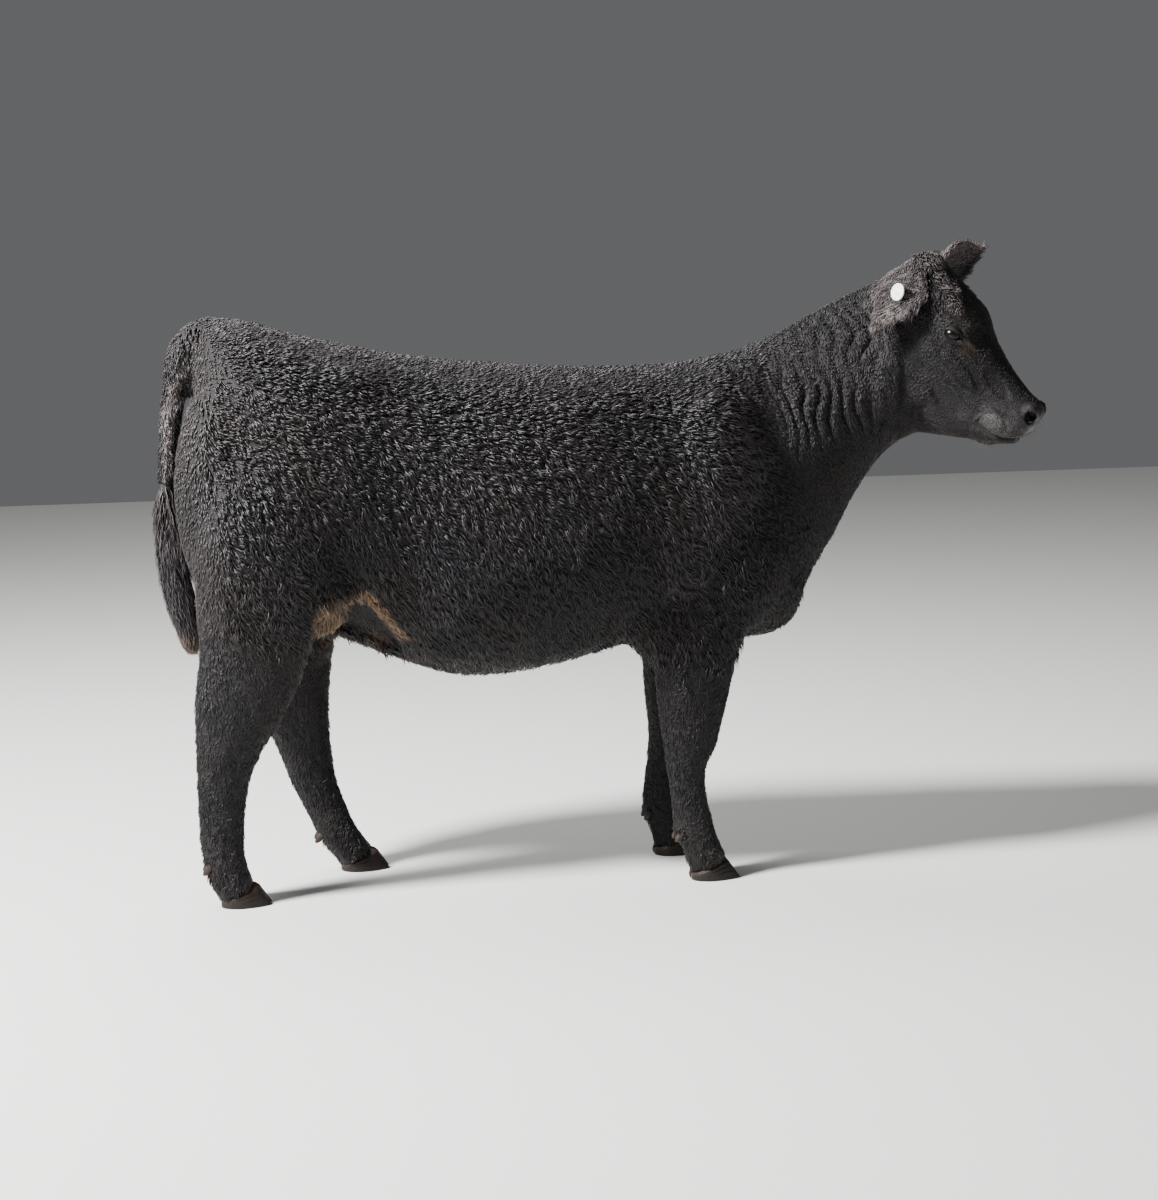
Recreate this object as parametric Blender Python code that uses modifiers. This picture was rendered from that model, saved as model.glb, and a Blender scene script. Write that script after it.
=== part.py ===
"""A young Maine-Anjou heifer standing square, life size.

The body is modelled whole from lofted forms, fused, and then parted by thin
cuts into the pieces a person would name. Metres, +Z up, +X toward the head,
+Y toward the animal's left side. The soles stand at z = 0.
"""

import math
import random

import bmesh
import bpy
import numpy as np
from mathutils import Matrix, Vector

# Thin cut between touching pieces
GAP = 0.0003
# Shift that brings the middle of the whole model's floor plan to the origin
TO_ORIGIN = Vector((-0.003, 0.002, 0.0))

# Grid of the fused flesh, and how far it is softened and thinned out
VOXEL = 0.006
TRUNK_SOFTENING = 55
LIMB_SOFTENING = 8
HEAD_SOFTENING = 3
FLESH_TRIANGLES = 7400
THINNING_BIAS = 0.003
SOFTENING_STRENGTH = 0.5
# How strongly the head is thinned out beside the rest
HEAD_THINNING = 0.08
# The middle of the head's finer surface and how far it reaches, where limbs and tail
# begin, and the width over which one treatment gives way to the next
HEAD_MIDDLE = (0.20, -0.08, 0.0)
HEAD_REACH = 0.19
LIMB_TOP = 0.42
TAIL_FROM = -0.82
BLEND = 0.08

# Trunk stations: x, height of back, height of belly, share of the height where it
# is widest, half width, roundness above and below the widest line
TRUNK = (
    (-0.785, 1.066, 0.800, 0.55, 0.070, 2.0, 2.0),
    (-0.765, 1.116, 0.720, 0.52, 0.120, 2.1, 2.0),
    (-0.700, 1.136, 0.610, 0.56, 0.180, 2.4, 2.0),
    (-0.610, 1.109, 0.540, 0.60, 0.214, 2.5, 2.0),
    (-0.510, 1.085, 0.492, 0.58, 0.224, 2.5, 2.1),
    (-0.410, 1.063, 0.451, 0.53, 0.232, 2.4, 2.1),
    (-0.300, 1.047, 0.416, 0.50, 0.244, 2.3, 2.1),
    (-0.190, 1.036, 0.413, 0.49, 0.250, 2.3, 2.1),
    (-0.070, 1.027, 0.432, 0.48, 0.246, 2.3, 2.1),
    (0.050, 1.024, 0.460, 0.46, 0.228, 2.2, 2.1),
    (0.160, 1.028, 0.472, 0.44, 0.210, 2.1, 2.2),
    (0.260, 1.042, 0.464, 0.42, 0.190, 2.0, 2.2),
    (0.340, 1.048, 0.464, 0.38, 0.160, 2.0, 2.1),
    (0.388, 0.966, 0.488, 0.36, 0.112, 2.0, 2.0),
    (0.414, 0.800, 0.530, 0.40, 0.060, 2.0, 2.0),
)

# Neck stations: x and z of the crest, x and z of the throat, y, half width
NECK = (
    (0.100, 0.990, 0.300, 0.500, 0.000, 0.150),
    (0.220, 1.026, 0.390, 0.530, 0.000, 0.158),
    (0.322, 1.063, 0.440, 0.602, 0.000, 0.146),
    (0.400, 1.098, 0.478, 0.657, -0.004, 0.130),
    (0.470, 1.135, 0.514, 0.726, -0.014, 0.114),
    (0.545, 1.169, 0.549, 0.790, -0.034, 0.103),
    (0.600, 1.192, 0.590, 0.842, -0.056, 0.097),
    (0.645, 1.214, 0.640, 0.872, -0.078, 0.088),
)
NECK_WIDEST = 0.44

# The head's own frame: the poll, the turn toward the animal's right, and how far
# the line of the face slopes down
POLL = Vector((0.660, -0.084, 1.232))
HEAD_TURN = math.radians(28.0)
FACE_SLOPE = math.radians(53.7)

# Head stations: distance from poll along the face, height of the face line and of
# the jaw line square to it, share of that depth where it is widest, half width,
# roundness above and below
HEAD = (
    (-0.012, -0.060, -0.150, 0.50, 0.032, 2.0, 2.0),
    (0.000, -0.004, -0.185, 0.60, 0.058, 2.2, 2.0),
    (0.020, 0.009, -0.210, 0.66, 0.075, 2.4, 2.0),
    (0.055, 0.008, -0.226, 0.70, 0.086, 2.5, 2.0),
    (0.105, 0.012, -0.245, 0.72, 0.096, 2.6, 2.0),
    (0.160, 0.020, -0.264, 0.75, 0.099, 2.7, 2.0),
    (0.215, 0.003, -0.270, 0.74, 0.087, 2.6, 2.0),
    (0.262, -0.004, -0.248, 0.70, 0.073, 2.5, 2.0),
    (0.305, -0.006, -0.206, 0.65, 0.062, 2.4, 2.1),
    (0.345, -0.007, -0.160, 0.58, 0.057, 2.3, 2.2),
    (0.378, -0.002, -0.133, 0.52, 0.061, 2.3, 2.3),
    (0.397, -0.010, -0.106, 0.50, 0.055, 2.3, 2.3),
    (0.408, -0.032, -0.088, 0.50, 0.036, 2.2, 2.2),
)

# Leg stations: height, x of the rear edge and of the front edge, half width
HIND_RIGHT = (
    (0.640, -0.800, -0.560, 0.080),
    (0.520, -0.800, -0.575, 0.080),
    (0.450, -0.806, -0.590, 0.074),
    (0.400, -0.812, -0.615, 0.066),
    (0.350, -0.813, -0.642, 0.058),
    (0.310, -0.813, -0.670, 0.053),
    (0.270, -0.813, -0.692, 0.048),
    (0.236, -0.814, -0.704, 0.045),
    (0.188, -0.814, -0.713, 0.042),
    (0.128, -0.813, -0.718, 0.043),
    (0.092, -0.808, -0.718, 0.046),
    (0.066, -0.799, -0.714, 0.044),
    (0.040, -0.790, -0.703, 0.047),
    (-0.012, -0.768, -0.672, 0.047),
)
HIND_LEFT = (
    (0.640, -0.800, -0.500, 0.085),
    (0.520, -0.786, -0.512, 0.084),
    (0.450, -0.760, -0.524, 0.076),
    (0.400, -0.735, -0.531, 0.067),
    (0.350, -0.703, -0.535, 0.058),
    (0.300, -0.673, -0.536, 0.052),
    (0.258, -0.652, -0.534, 0.048),
    (0.190, -0.629, -0.526, 0.043),
    (0.125, -0.599, -0.503, 0.043),
    (0.088, -0.583, -0.489, 0.046),
    (0.062, -0.565, -0.474, 0.044),
    (0.040, -0.548, -0.457, 0.047),
    (-0.012, -0.516, -0.424, 0.047),
)
FORE_RIGHT = (
    (0.640, 0.070, 0.310, 0.070),
    (0.540, 0.074, 0.298, 0.072),
    (0.466, 0.083, 0.269, 0.067),
    (0.418, 0.087, 0.256, 0.061),
    (0.350, 0.092, 0.239, 0.054),
    (0.300, 0.098, 0.226, 0.050),
    (0.264, 0.103, 0.216, 0.049),
    (0.224, 0.107, 0.195, 0.043),
    (0.170, 0.115, 0.194, 0.039),
    (0.130, 0.117, 0.204, 0.041),
    (0.094, 0.119, 0.211, 0.045),
    (0.066, 0.138, 0.219, 0.042),
    (0.042, 0.146, 0.231, 0.046),
    (-0.012, 0.160, 0.252, 0.046),
)
# The left foreleg stands a little further back than the right one
FORE_LEFT = (
    (0.640, 0.065, 0.305, 0.070),
    (0.540, 0.074, 0.290, 0.072),
    (0.466, 0.090, 0.262, 0.067),
    (0.418, 0.098, 0.250, 0.061),
    (0.346, 0.102, 0.233, 0.054),
    (0.300, 0.107, 0.221, 0.050),
    (0.266, 0.110, 0.210, 0.049),
    (0.220, 0.108, 0.190, 0.043),
    (0.168, 0.101, 0.184, 0.039),
    (0.124, 0.095, 0.186, 0.041),
    (0.088, 0.096, 0.190, 0.045),
    (0.064, 0.112, 0.198, 0.042),
    (0.042, 0.117, 0.208, 0.046),
    (-0.012, 0.132, 0.236, 0.046),
)
# Half the distance between the soles, and how far each leg leans in toward its top
HIND_STANCE = 0.128
FORE_STANCE = 0.118
LEG_TOP_LEAN = 0.012

# Muscle masses in pairs: centre x, y, z, radii along x, y, z, tilt about Y in degrees
MASSES = (
    (-0.712, 0.094, 0.795, 0.120, 0.084, 0.245, 0.0),
    (-0.640, 0.135, 0.700, 0.160, 0.094, 0.240, 8.0),
    (-0.580, 0.134, 0.645, 0.100, 0.066, 0.145, -14.0),
    (-0.530, 0.138, 0.965, 0.130, 0.064, 0.085, -6.0),
    (0.190, 0.118, 0.760, 0.135, 0.098, 0.220, 8.0),
    (0.255, 0.112, 0.620, 0.115, 0.084, 0.140, 20.0),
    (0.110, 0.105, 0.550, 0.095, 0.074, 0.120, 0.0),
    (0.332, 0.050, 0.572, 0.078, 0.070, 0.098, 25.0),
)

# Thin cuts that part the neck from the trunk and the head from the neck: a point
# on each and the way it faces
NECK_CUT = ((0.340, 0.0, 0.830), (0.876, 0.0, 0.482))
HEAD_CUT = ((0.618, -0.066, 1.030), (0.935, -0.340, -0.099))
NECK_ROOM = (1.4, 0.9, 0.9)
HEAD_ROOM = (0.9, 0.6, 0.7)
CUTTER_EXTRA = 0.01
# Where the legs are parted from the trunk, and the room that each cut takes in
HIND_CUT_HEIGHT = 0.500
HIND_CUT_TILT = math.radians(20.0)
HIND_CUT_X = -0.660
HIND_SLAB = (0.84, 0.30, 0.60)
FORE_CUT_HEIGHT = 0.438
FORE_CUT_X = 0.170
FORE_SLAB = (0.30, 0.30, 0.60)

# Feet: side, x of the heel, x and z of the dewclaws
HIND_FEET = (("left", 1, -0.526, -0.570, 0.070), ("right", -1, -0.772, -0.796, 0.074))
FORE_FEET = (("left", 1, 0.122, 0.108, 0.084), ("right", -1, 0.155, 0.131, 0.088))
# The coronet, where hair gives way to horn, and the claws below it
CORONET_FRONT = 0.046
CORONET_SLOPE = math.radians(26.0)
CORONET_ROOM = (0.3, 0.2, 0.1)
CLAW_LENGTH = 0.099
CLAW_WIDTH = 0.044
CLAW_CLEFT = 0.006
CLAW_SIDES = 16
CLAW_LEVELS = (0.0, 0.45, 1.0)
# Shares of the claw's width: how far its cleft wall bows, how much the outer wall
# draws in toward the toe, and how far the toe turns away from the cleft
CLAW_BOW = 0.05
CLAW_DRAW = 0.56
CLAW_ROUND = 0.8
CLAW_TOE_TURN = 0.16
# How much shorter and narrower a claw is at its coronet than at its sole
CLAW_TOP_SHORTER = 0.31
CLAW_TOP_NARROWER = 0.06
DEWCLAW_LENGTH = 0.024
DEWCLAW_RADIUS = 0.0105
DEWCLAW_TAPER = 0.45
DEWCLAW_SPREAD = 0.019
DEWCLAW_DROP = math.radians(48.0)

# Eyes, in the head's frame
EYE_RADIUS = 0.0175
EYE_ALONG = 0.171
EYE_BELOW = -0.046
EYE_OUT = 0.0850
EYE_GAZE = (0.25, 0.22, 1.0)
EYE_SLANT = (0.88, 0.47, 0.0)
LID_THICKNESS = 0.0045
LID_OPENING = (0.0170, 0.0095)
LID_OPENING_DEPTH = 0.012

# Masses of the head in pairs, in the head's frame: centre and radii
BROW = ((0.128, -0.022, 0.066), (0.052, 0.032, 0.034))
CHEEK = ((0.178, -0.172, 0.040), (0.080, 0.072, 0.048))
LIP = ((0.356, -0.078, 0.038), (0.044, 0.036, 0.025))

# Nostrils: a wing round each opening, in the head's frame
NOSTRIL = (0.381, -0.021, 0.040)
NOSTRIL_WING = (0.0200, 0.0165, 0.0150)
NOSTRIL_OPENING = (0.0150, 0.0105, 0.0120)
NOSTRIL_OPENING_SHIFT = (0.004, 0.0, 0.01125)
NOSTRIL_TURN = math.radians(-38.0)
NOSTRIL_SPLAY = math.radians(35.0)

# Mouth: its line runs from the front of the muzzle to the corner on each side
MOUTH_LINE = (
    (0.4300, -0.0330),
    (0.4165, -0.0590),
    (0.4045, -0.0787),
    (0.3902, -0.0949),
    (0.3723, -0.1061),
    (0.3548, -0.1103),
    (0.3347, -0.1111),
)
MOUTH_GAP = 0.0026
MOUTH_DEPTH = 0.012
MOUTH_CORE_HALF_WIDTH = 0.040
MOUTH_CORE_HALF_HEIGHT = 0.030
MOUTH_PLATE_WIDTH = 0.2

# Ears, in the head's frame: root, tip and the way the cup faces. The left one is
# pricked forward, the right one droops
EAR_WIDTH = 0.094
EAR_CUP = 0.026
EAR_CUP_FADE = 0.75
EAR_THICKNESS = 0.010
EAR_CURL = 0.006
# Shares of its width: at the root, and what the tip loses; where along it the leaf ends
EAR_ROOT_WIDTH = 0.42
EAR_TIP_LOSS = 0.86
EAR_LEAF_END = 0.92
EAR_LEAF_POWER = 0.8
EAR_INNER_WIDTH = 0.96
# How much thinner it is at its edges and at its tip
EAR_EDGE_THINNER = 0.55
EAR_TIP_THINNER = 0.5
# The cup fills up toward the root: its share of the cup, and how far along that reaches
EAR_FILL = 1.15
EAR_FILL_TO = 0.30
EAR_STEPS = 9
EAR_ACROSS = 8
EARS = {
    "left": ((0.048, -0.032, 0.070), (0.044, 0.058, 0.184), (0.72, 0.54, -0.40)),
    "right": ((0.044, -0.029, -0.056), (0.073, -0.149, -0.141), (0.533, -0.398, 0.746)),
}

# Round tag on the right ear: a button, its stud, and the disc behind the ear
TAG_RADIUS = 0.0170
TAG_THICKNESS = 0.0050
TAG_ALONG = 0.46
TAG_ACROSS = -0.13
STUD_RADIUS = 0.0035
TAG_BACK_RADIUS = 0.0100
# The tag hangs a little off the ear, with its stud aslant, in the head's frame
TAG_STANDOFF = 0.0085
TAG_STUD_RUN = (0.456, 0.319, 0.832)
# Share of the ear's thickness that the stud passes through, and the back disc's thickness
TAG_THROUGH = 0.75
TAG_BACK_THINNER = 0.8

# Tail: dock stations as x, z, thickness front to back and side to side
TAIL_DOCK = (
    (-0.690, 1.078, 0.080, 0.090),
    (-0.758, 1.096, 0.084, 0.082),
    (-0.803, 1.056, 0.074, 0.068),
    (-0.822, 0.990, 0.056, 0.056),
    (-0.833, 0.925, 0.048, 0.050),
    (-0.842, 0.860, 0.042, 0.046),
    (-0.846, 0.800, 0.038, 0.042),
    (-0.846, 0.750, 0.032, 0.036),
)
TAIL_CUT_STATION = 2
TAIL_SLEEVE = 0.016
TAIL_END_ROOM = (0.2, 0.2, 0.2)
# Switch: the outline of its hair as x, z, thickness front to back and side to side
SWITCH_TOP = 0.805
SWITCH = (
    (-0.8460, 0.830, 0.036, 0.040),
    (-0.8455, 0.790, 0.047, 0.048),
    (-0.8435, 0.740, 0.059, 0.058),
    (-0.8400, 0.680, 0.063, 0.062),
    (-0.8330, 0.615, 0.064, 0.060),
    (-0.8215, 0.550, 0.055, 0.052),
    (-0.8110, 0.500, 0.038, 0.038),
    (-0.8060, 0.470, 0.010, 0.012),
)
# The tail's fleshy end inside the switch: height and share of the hair's thickness
SWITCH_CORE = ((0.805, 0.86), (0.775, 0.58), (0.730, 0.44), (0.670, 0.38), (0.600, 0.20))
SWITCH_CORE_SIDES = 12
# Locks that hang from it in tiers, from the top down to the tip
LOCK_TIERS = 6
LOCKS_ROUND = 4
LOCK_LENGTH = (0.120, 0.150)
LOCK_WIDTH = (0.026, 0.034)
LOCK_THICKNESS = 0.008
LOCK_SWAY = 0.35
# How far a lock may stray from its tier and from its place round it
LOCK_STRAY_DOWN = 0.35
LOCK_STRAY_ROUND = 0.15
LOCK_SEED = 11
# Along a lock: how far down it, how far out of the middle, and how wide it is there
LOCK_FORM = (
    (0.00, 0.36, 0.50),
    (0.40, 0.74, 1.00),
    (1.00, 0.84, 0.05),
)

COAT = (0.012, 0.011, 0.012)
HORN = (0.045, 0.036, 0.030)
PALE_HORN = (0.16, 0.11, 0.085)
EYE_DARK = (0.006, 0.005, 0.006)
WHITE_PLASTIC = (0.80, 0.80, 0.76)


def clear_scene():
    for obj in list(bpy.data.objects):
        bpy.data.objects.remove(obj, do_unlink=True)


def collection(name):
    made = bpy.data.collections.new(name)
    bpy.context.scene.collection.children.link(made)
    return made


def make_object(name, mesh, home):
    obj = bpy.data.objects.new(name, mesh)
    home.objects.link(obj)
    return obj


def mesh_from_bmesh(name, bm):
    bmesh.ops.recalc_face_normals(bm, faces=bm.faces[:])
    mesh = bpy.data.meshes.new(name)
    bm.to_mesh(mesh)
    bm.free()
    return mesh


def through(rows, steps):
    """Catmull-Rom curve through the rows, with the given steps between two rows."""
    rows = np.array(rows, dtype=float)
    ends = np.vstack([2 * rows[0] - rows[1], rows, 2 * rows[-1] - rows[-2]])
    out = []
    for i in range(len(rows) - 1):
        a, b, c, d = ends[i : i + 4]
        for t in np.arange(steps) / steps:
            cubic = -a + 3 * b - 3 * c + d
            square = 2 * a - 5 * b + 4 * c - d
            out.append(0.5 * (2 * b + (c - a) * t + square * t * t + cubic * t ** 3))
    out.append(rows[-1])
    return np.array(out)


def ring(high, low, widest, half, side, round_high=2.0, round_low=2.0, count=32):
    """Closed section between two points, widest at a share of the way up."""
    high, low, side = (np.array(v, dtype=float) for v in (high, low, side))
    middle = low + (high - low) * widest
    angle = np.arange(count) * 2 * math.pi / count
    across, rise = np.cos(angle), np.sin(angle)
    power = np.where(rise >= 0, 2 / round_high, 2 / round_low)
    across = np.sign(across) * np.abs(across) ** power
    rise = np.sign(rise) * np.abs(rise) ** power
    reach = np.where(rise[:, None] >= 0, high - middle, middle - low)
    return middle + side * half * across[:, None] + reach * rise[:, None]


def loft(name, rings, home):
    bm = bmesh.new()
    loops = [[bm.verts.new(point) for point in one] for one in rings]
    for one, two in zip(loops, loops[1:]):
        count = len(one)
        for i in range(count):
            j = (i + 1) % count
            bm.faces.new((one[i], one[j], two[j], two[i]))
    bm.faces.new(loops[0])
    bm.faces.new(loops[-1])
    return make_object(name, mesh_from_bmesh(name, bm), home)


def ball(name, centre, radii, home, turn=None, segments=32, rings=20):
    bm = bmesh.new()
    bmesh.ops.create_uvsphere(bm, u_segments=segments, v_segments=rings, radius=1.0)
    matrix = Matrix.Translation(centre) @ (turn or Matrix.Identity(4)) @ Matrix.Diagonal((*radii, 1.0))
    bmesh.ops.transform(bm, matrix=matrix, verts=bm.verts[:])
    return make_object(name, mesh_from_bmesh(name, bm), home)


def bake(obj):
    """Apply the object's modifiers to its mesh."""
    depsgraph = bpy.context.evaluated_depsgraph_get()
    mesh = bpy.data.meshes.new_from_object(obj.evaluated_get(depsgraph))
    obj.modifiers.clear()
    old = obj.data
    obj.data = mesh
    bpy.data.meshes.remove(old)
    return obj


def boolean(obj, other, operation):
    """Cut with or join to another object, which is used up."""
    cut = obj.modifiers.new("cut", "BOOLEAN")
    cut.operation = operation
    cut.object = other
    cut.solver = "EXACT"
    bake(obj)
    bpy.data.objects.remove(other, do_unlink=True)
    return obj


def largest_surface(obj):
    """Drop every closed surface but the one with the most vertices."""
    bm = bmesh.new()
    bm.from_mesh(obj.data)
    seen, groups = set(), []
    for start in bm.verts:
        if start in seen:
            continue
        group, todo = [], [start]
        seen.add(start)
        while todo:
            vert = todo.pop()
            group.append(vert)
            for edge in vert.link_edges:
                other = edge.other_vert(vert)
                if other not in seen:
                    seen.add(other)
                    todo.append(other)
        groups.append(group)
    groups.sort(key=len)
    for group in groups[:-1]:
        bmesh.ops.delete(bm, geom=group, context="VERTS")
    bm.to_mesh(obj.data)
    bm.free()
    return obj


def tidy(obj, merge=0.00005):
    """Merge near points left by a cut, triangulate and face everything outward."""
    bm = bmesh.new()
    bm.from_mesh(obj.data)
    bmesh.ops.remove_doubles(bm, verts=bm.verts[:], dist=merge)
    bmesh.ops.dissolve_degenerate(bm, edges=bm.edges[:], dist=merge / 4)
    bmesh.ops.triangulate(bm, faces=bm.faces[:])
    bmesh.ops.recalc_face_normals(bm, faces=bm.faces[:])
    bm.to_mesh(obj.data)
    bm.free()
    return largest_surface(obj)


def duplicate(obj, name, home):
    return make_object(name, obj.data.copy(), home)


def aim(direction, across):
    """Rotation whose Z runs along a direction and whose X lies nearest to another."""
    z = Vector(direction).normalized()
    y = z.cross(Vector(across)).normalized()
    x = y.cross(z)
    return Matrix((x, y, z)).transposed().to_4x4()


def slab(name, point, normal, size, home):
    """A box whose one face lies on the plane and which fills the side it points to."""
    normal = Vector(normal).normalized()
    across = (1, 0, 0) if abs(normal.x) < abs(normal.z) else (0, 0, 1)
    bm = bmesh.new()
    bmesh.ops.create_cube(bm, size=1.0)
    matrix = Matrix.Translation(Vector(point) + normal * size[2] / 2) @ aim(normal, across)
    matrix = matrix @ Matrix.Diagonal((*size, 1.0))
    bmesh.ops.transform(bm, matrix=matrix, verts=bm.verts[:])
    return make_object(name, mesh_from_bmesh(name, bm), home)


def part_by_plane(obj, name, point, normal, size, homes):
    """Cut off what lies on the plane's far side as a new piece, leaving a thin gap."""
    nodes, cutters = homes
    normal = Vector(normal).normalized()
    half_gap = normal * GAP / 2
    piece = duplicate(obj, name, nodes)
    boolean(piece, slab("cutter", Vector(point) + half_gap, normal, size, cutters), "INTERSECT")
    wide = [length + CUTTER_EXTRA for length in size]
    boolean(obj, slab("cutter", Vector(point) - half_gap, normal, wide, cutters), "DIFFERENCE")
    tidy(piece)
    tidy(obj)
    return piece


def head_matrix():
    """Columns: along the face, square to the face outward, and the head's left."""
    ahead = Vector((math.cos(HEAD_TURN), -math.sin(HEAD_TURN), 0.0))
    up = Vector((0.0, 0.0, 1.0))
    along = ahead * math.cos(FACE_SLOPE) - up * math.sin(FACE_SLOPE)
    square = ahead * math.sin(FACE_SLOPE) + up * math.cos(FACE_SLOPE)
    left = Vector((math.sin(HEAD_TURN), math.cos(HEAD_TURN), 0.0))
    matrix = Matrix((along, square, left)).transposed().to_4x4()
    matrix.translation = POLL
    return matrix


def trunk(home):
    rings = []
    for x, back, belly, widest, half, above, below in through(TRUNK, 4):
        rings.append(ring((x, 0, back), (x, 0, belly), widest, half, (0, 1, 0), above, below, 48))
    return loft("trunk", rings, home)


def neck(home):
    rows = through(NECK, 4)
    rings = []
    for i, (crest_x, crest_z, throat_x, throat_z, y, half) in enumerate(rows):
        before, after = rows[max(i - 1, 0)], rows[min(i + 1, len(rows) - 1)]
        turn = math.atan2(after[4] - before[4], max(after[0] - before[0], 1e-6))
        side = (-math.sin(turn), math.cos(turn), 0.0)
        crest, throat = (crest_x, y, crest_z), (throat_x, y, throat_z)
        rings.append(ring(crest, throat, NECK_WIDEST, half, side, 1.8, 2.0, 40))
    return loft("neck_form", rings, home)


def head(home):
    place = head_matrix()
    rings = []
    for along, face, jaw, widest, half, above, below in through(HEAD, 4):
        points = ring((along, face, 0), (along, jaw, 0), widest, half, (0, 0, 1), above, below, 40)
        rings.append([place @ Vector(point) for point in points])
    return loft("head_form", rings, home)


def leg(name, stations, side, stance, home):
    top, foot = stations[0][0], stations[-1][0]
    rings = []
    for height, rear, front, half in through(stations, 3):
        lean = LEG_TOP_LEAN * (height - foot) / (top - foot)
        y = side * (stance - lean)
        rings.append(ring((front, y, height), (rear, y, height), 0.5, half, (0, 1, 0), 2.2, 2.2, 28))
    return loft(name, rings, home)


def masses(home):
    made = []
    for x, y, z, a, b, c, tilt in MASSES:
        turn = Matrix.Rotation(math.radians(tilt), 4, "Y")
        for side in (-1, 1):
            made.append(ball("mass", (x, side * y, z), (a, b, c), home, turn))
    return made


def tube(name, stations, home, grow=0.0, count=20, steps=4):
    """Loft along a line in the middle plane, made larger on every side by grow."""
    rows = through(stations, steps)
    last = len(rows) - 1
    rings = []
    for i, (x, z, deep, wide) in enumerate(rows):
        before, after = rows[max(i - 1, 0)], rows[min(i + 1, last)]
        run = Vector((after[0] - before[0], 0.0, after[1] - before[1])).normalized()
        out = Vector((run.z, 0.0, -run.x)) * (deep / 2 + grow)
        centre = Vector((x, 0.0, z)) + run * grow * ((i == last) - (i == 0))
        rings.append(ring(centre - out, centre + out, 0.5, wide / 2 + grow, (0, 1, 0), 2.0, 2.0, count))
    return loft(name, rings, home)


def fuse(pieces, name, home):
    """Join closed forms into one skin on a fine grid."""
    bm = bmesh.new()
    for piece in pieces:
        bm.from_mesh(piece.data)
        bpy.data.objects.remove(piece, do_unlink=True)
    obj = make_object(name, mesh_from_bmesh(name, bm), home)
    grid = obj.modifiers.new("grid", "REMESH")
    grid.mode = "VOXEL"
    grid.voxel_size = VOXEL
    return bake(obj)


def soften(obj):
    """Blend the fused forms: most on the trunk, less on limbs, least on the head."""
    mesh = obj.data
    places = np.empty(len(mesh.vertices) * 3)
    mesh.vertices.foreach_get("co", places)
    places = places.reshape(-1, 3)
    middle = np.array(head_matrix() @ Vector(HEAD_MIDDLE))
    distance = np.linalg.norm(places - middle, axis=1)
    away = np.clip((distance - HEAD_REACH) / BLEND, 0, 1)
    above = np.clip((places[:, 2] - LIMB_TOP) / BLEND, 0, 1)
    before_tail = np.clip((places[:, 0] - TAIL_FROM) / BLEND, 0, 1)
    thinning = 1 - (1 - HEAD_THINNING) * (1 - away)
    shares = {"body": away, "trunk": away * above * before_tail, "thin_out": thinning}
    for name, share in shares.items():
        group = obj.vertex_groups.new(name=name)
        for index, weight in enumerate(share):
            group.add([index], float(weight), "REPLACE")
    for name, times in (("", HEAD_SOFTENING), ("body", LIMB_SOFTENING), ("trunk", TRUNK_SOFTENING)):
        smooth = obj.modifiers.new("soften", "SMOOTH")
        smooth.factor = SOFTENING_STRENGTH
        smooth.iterations = times
        smooth.vertex_group = name
    bake(obj)
    thin = obj.modifiers.new("thin out", "DECIMATE")
    thin.ratio = FLESH_TRIANGLES / (2 * len(obj.data.polygons))
    thin.vertex_group = "thin_out"
    thin.vertex_group_factor = THINNING_BIAS
    bake(obj)
    return tidy(obj)


def flesh(home):
    pieces = [trunk(home), neck(home), head(home)]
    pieces += masses(home)
    pieces += head_masses(home)
    pieces.append(leg("leg", HIND_RIGHT, -1, HIND_STANCE, home))
    pieces.append(leg("leg", HIND_LEFT, 1, HIND_STANCE, home))
    pieces.append(leg("leg", FORE_RIGHT, -1, FORE_STANCE, home))
    pieces.append(leg("leg", FORE_LEFT, 1, FORE_STANCE, home))
    pieces.append(tube("dock", TAIL_DOCK, home))
    return soften(fuse(pieces, "torso", home))


def place_in_head(point):
    return head_matrix() @ Vector(point)


def mirror(point, side):
    return Vector((point[0], point[1], point[2] * side))


def head_masses(home):
    turn = head_matrix().to_3x3().to_4x4()
    made = []
    for centre, radii in (BROW, CHEEK, LIP):
        for side in (-1, 1):
            made.append(ball("mass", place_in_head(mirror(centre, side)), radii, home, turn))
    return made


def eye_centre(side):
    return place_in_head((EYE_ALONG, EYE_BELOW, EYE_OUT * side))


def eye_turn(side):
    """Rotation whose Z is the way the eye looks out between its lids."""
    return head_matrix().to_3x3().to_4x4() @ aim(mirror(EYE_GAZE, side), EYE_SLANT)


def carve_eye(skull, side, cutters):
    """Raise the lids as a low dome, hollow the socket and open the slit between them."""
    centre = eye_centre(side)
    gaze = eye_turn(side)
    lid = EYE_RADIUS + LID_THICKNESS
    boolean(skull, ball("cutter", centre, (lid,) * 3, cutters, gaze, 20, 12), "UNION")
    socket = EYE_RADIUS + GAP
    boolean(skull, ball("cutter", centre, (socket,) * 3, cutters, gaze, 16, 10), "DIFFERENCE")
    front = centre + gaze.to_3x3() @ Vector((0.0, 0.0, EYE_RADIUS))
    slit = (LID_OPENING[0], LID_OPENING[1], LID_OPENING_DEPTH)
    boolean(skull, ball("cutter", front, slit, cutters, gaze, 20, 12), "DIFFERENCE")


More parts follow.
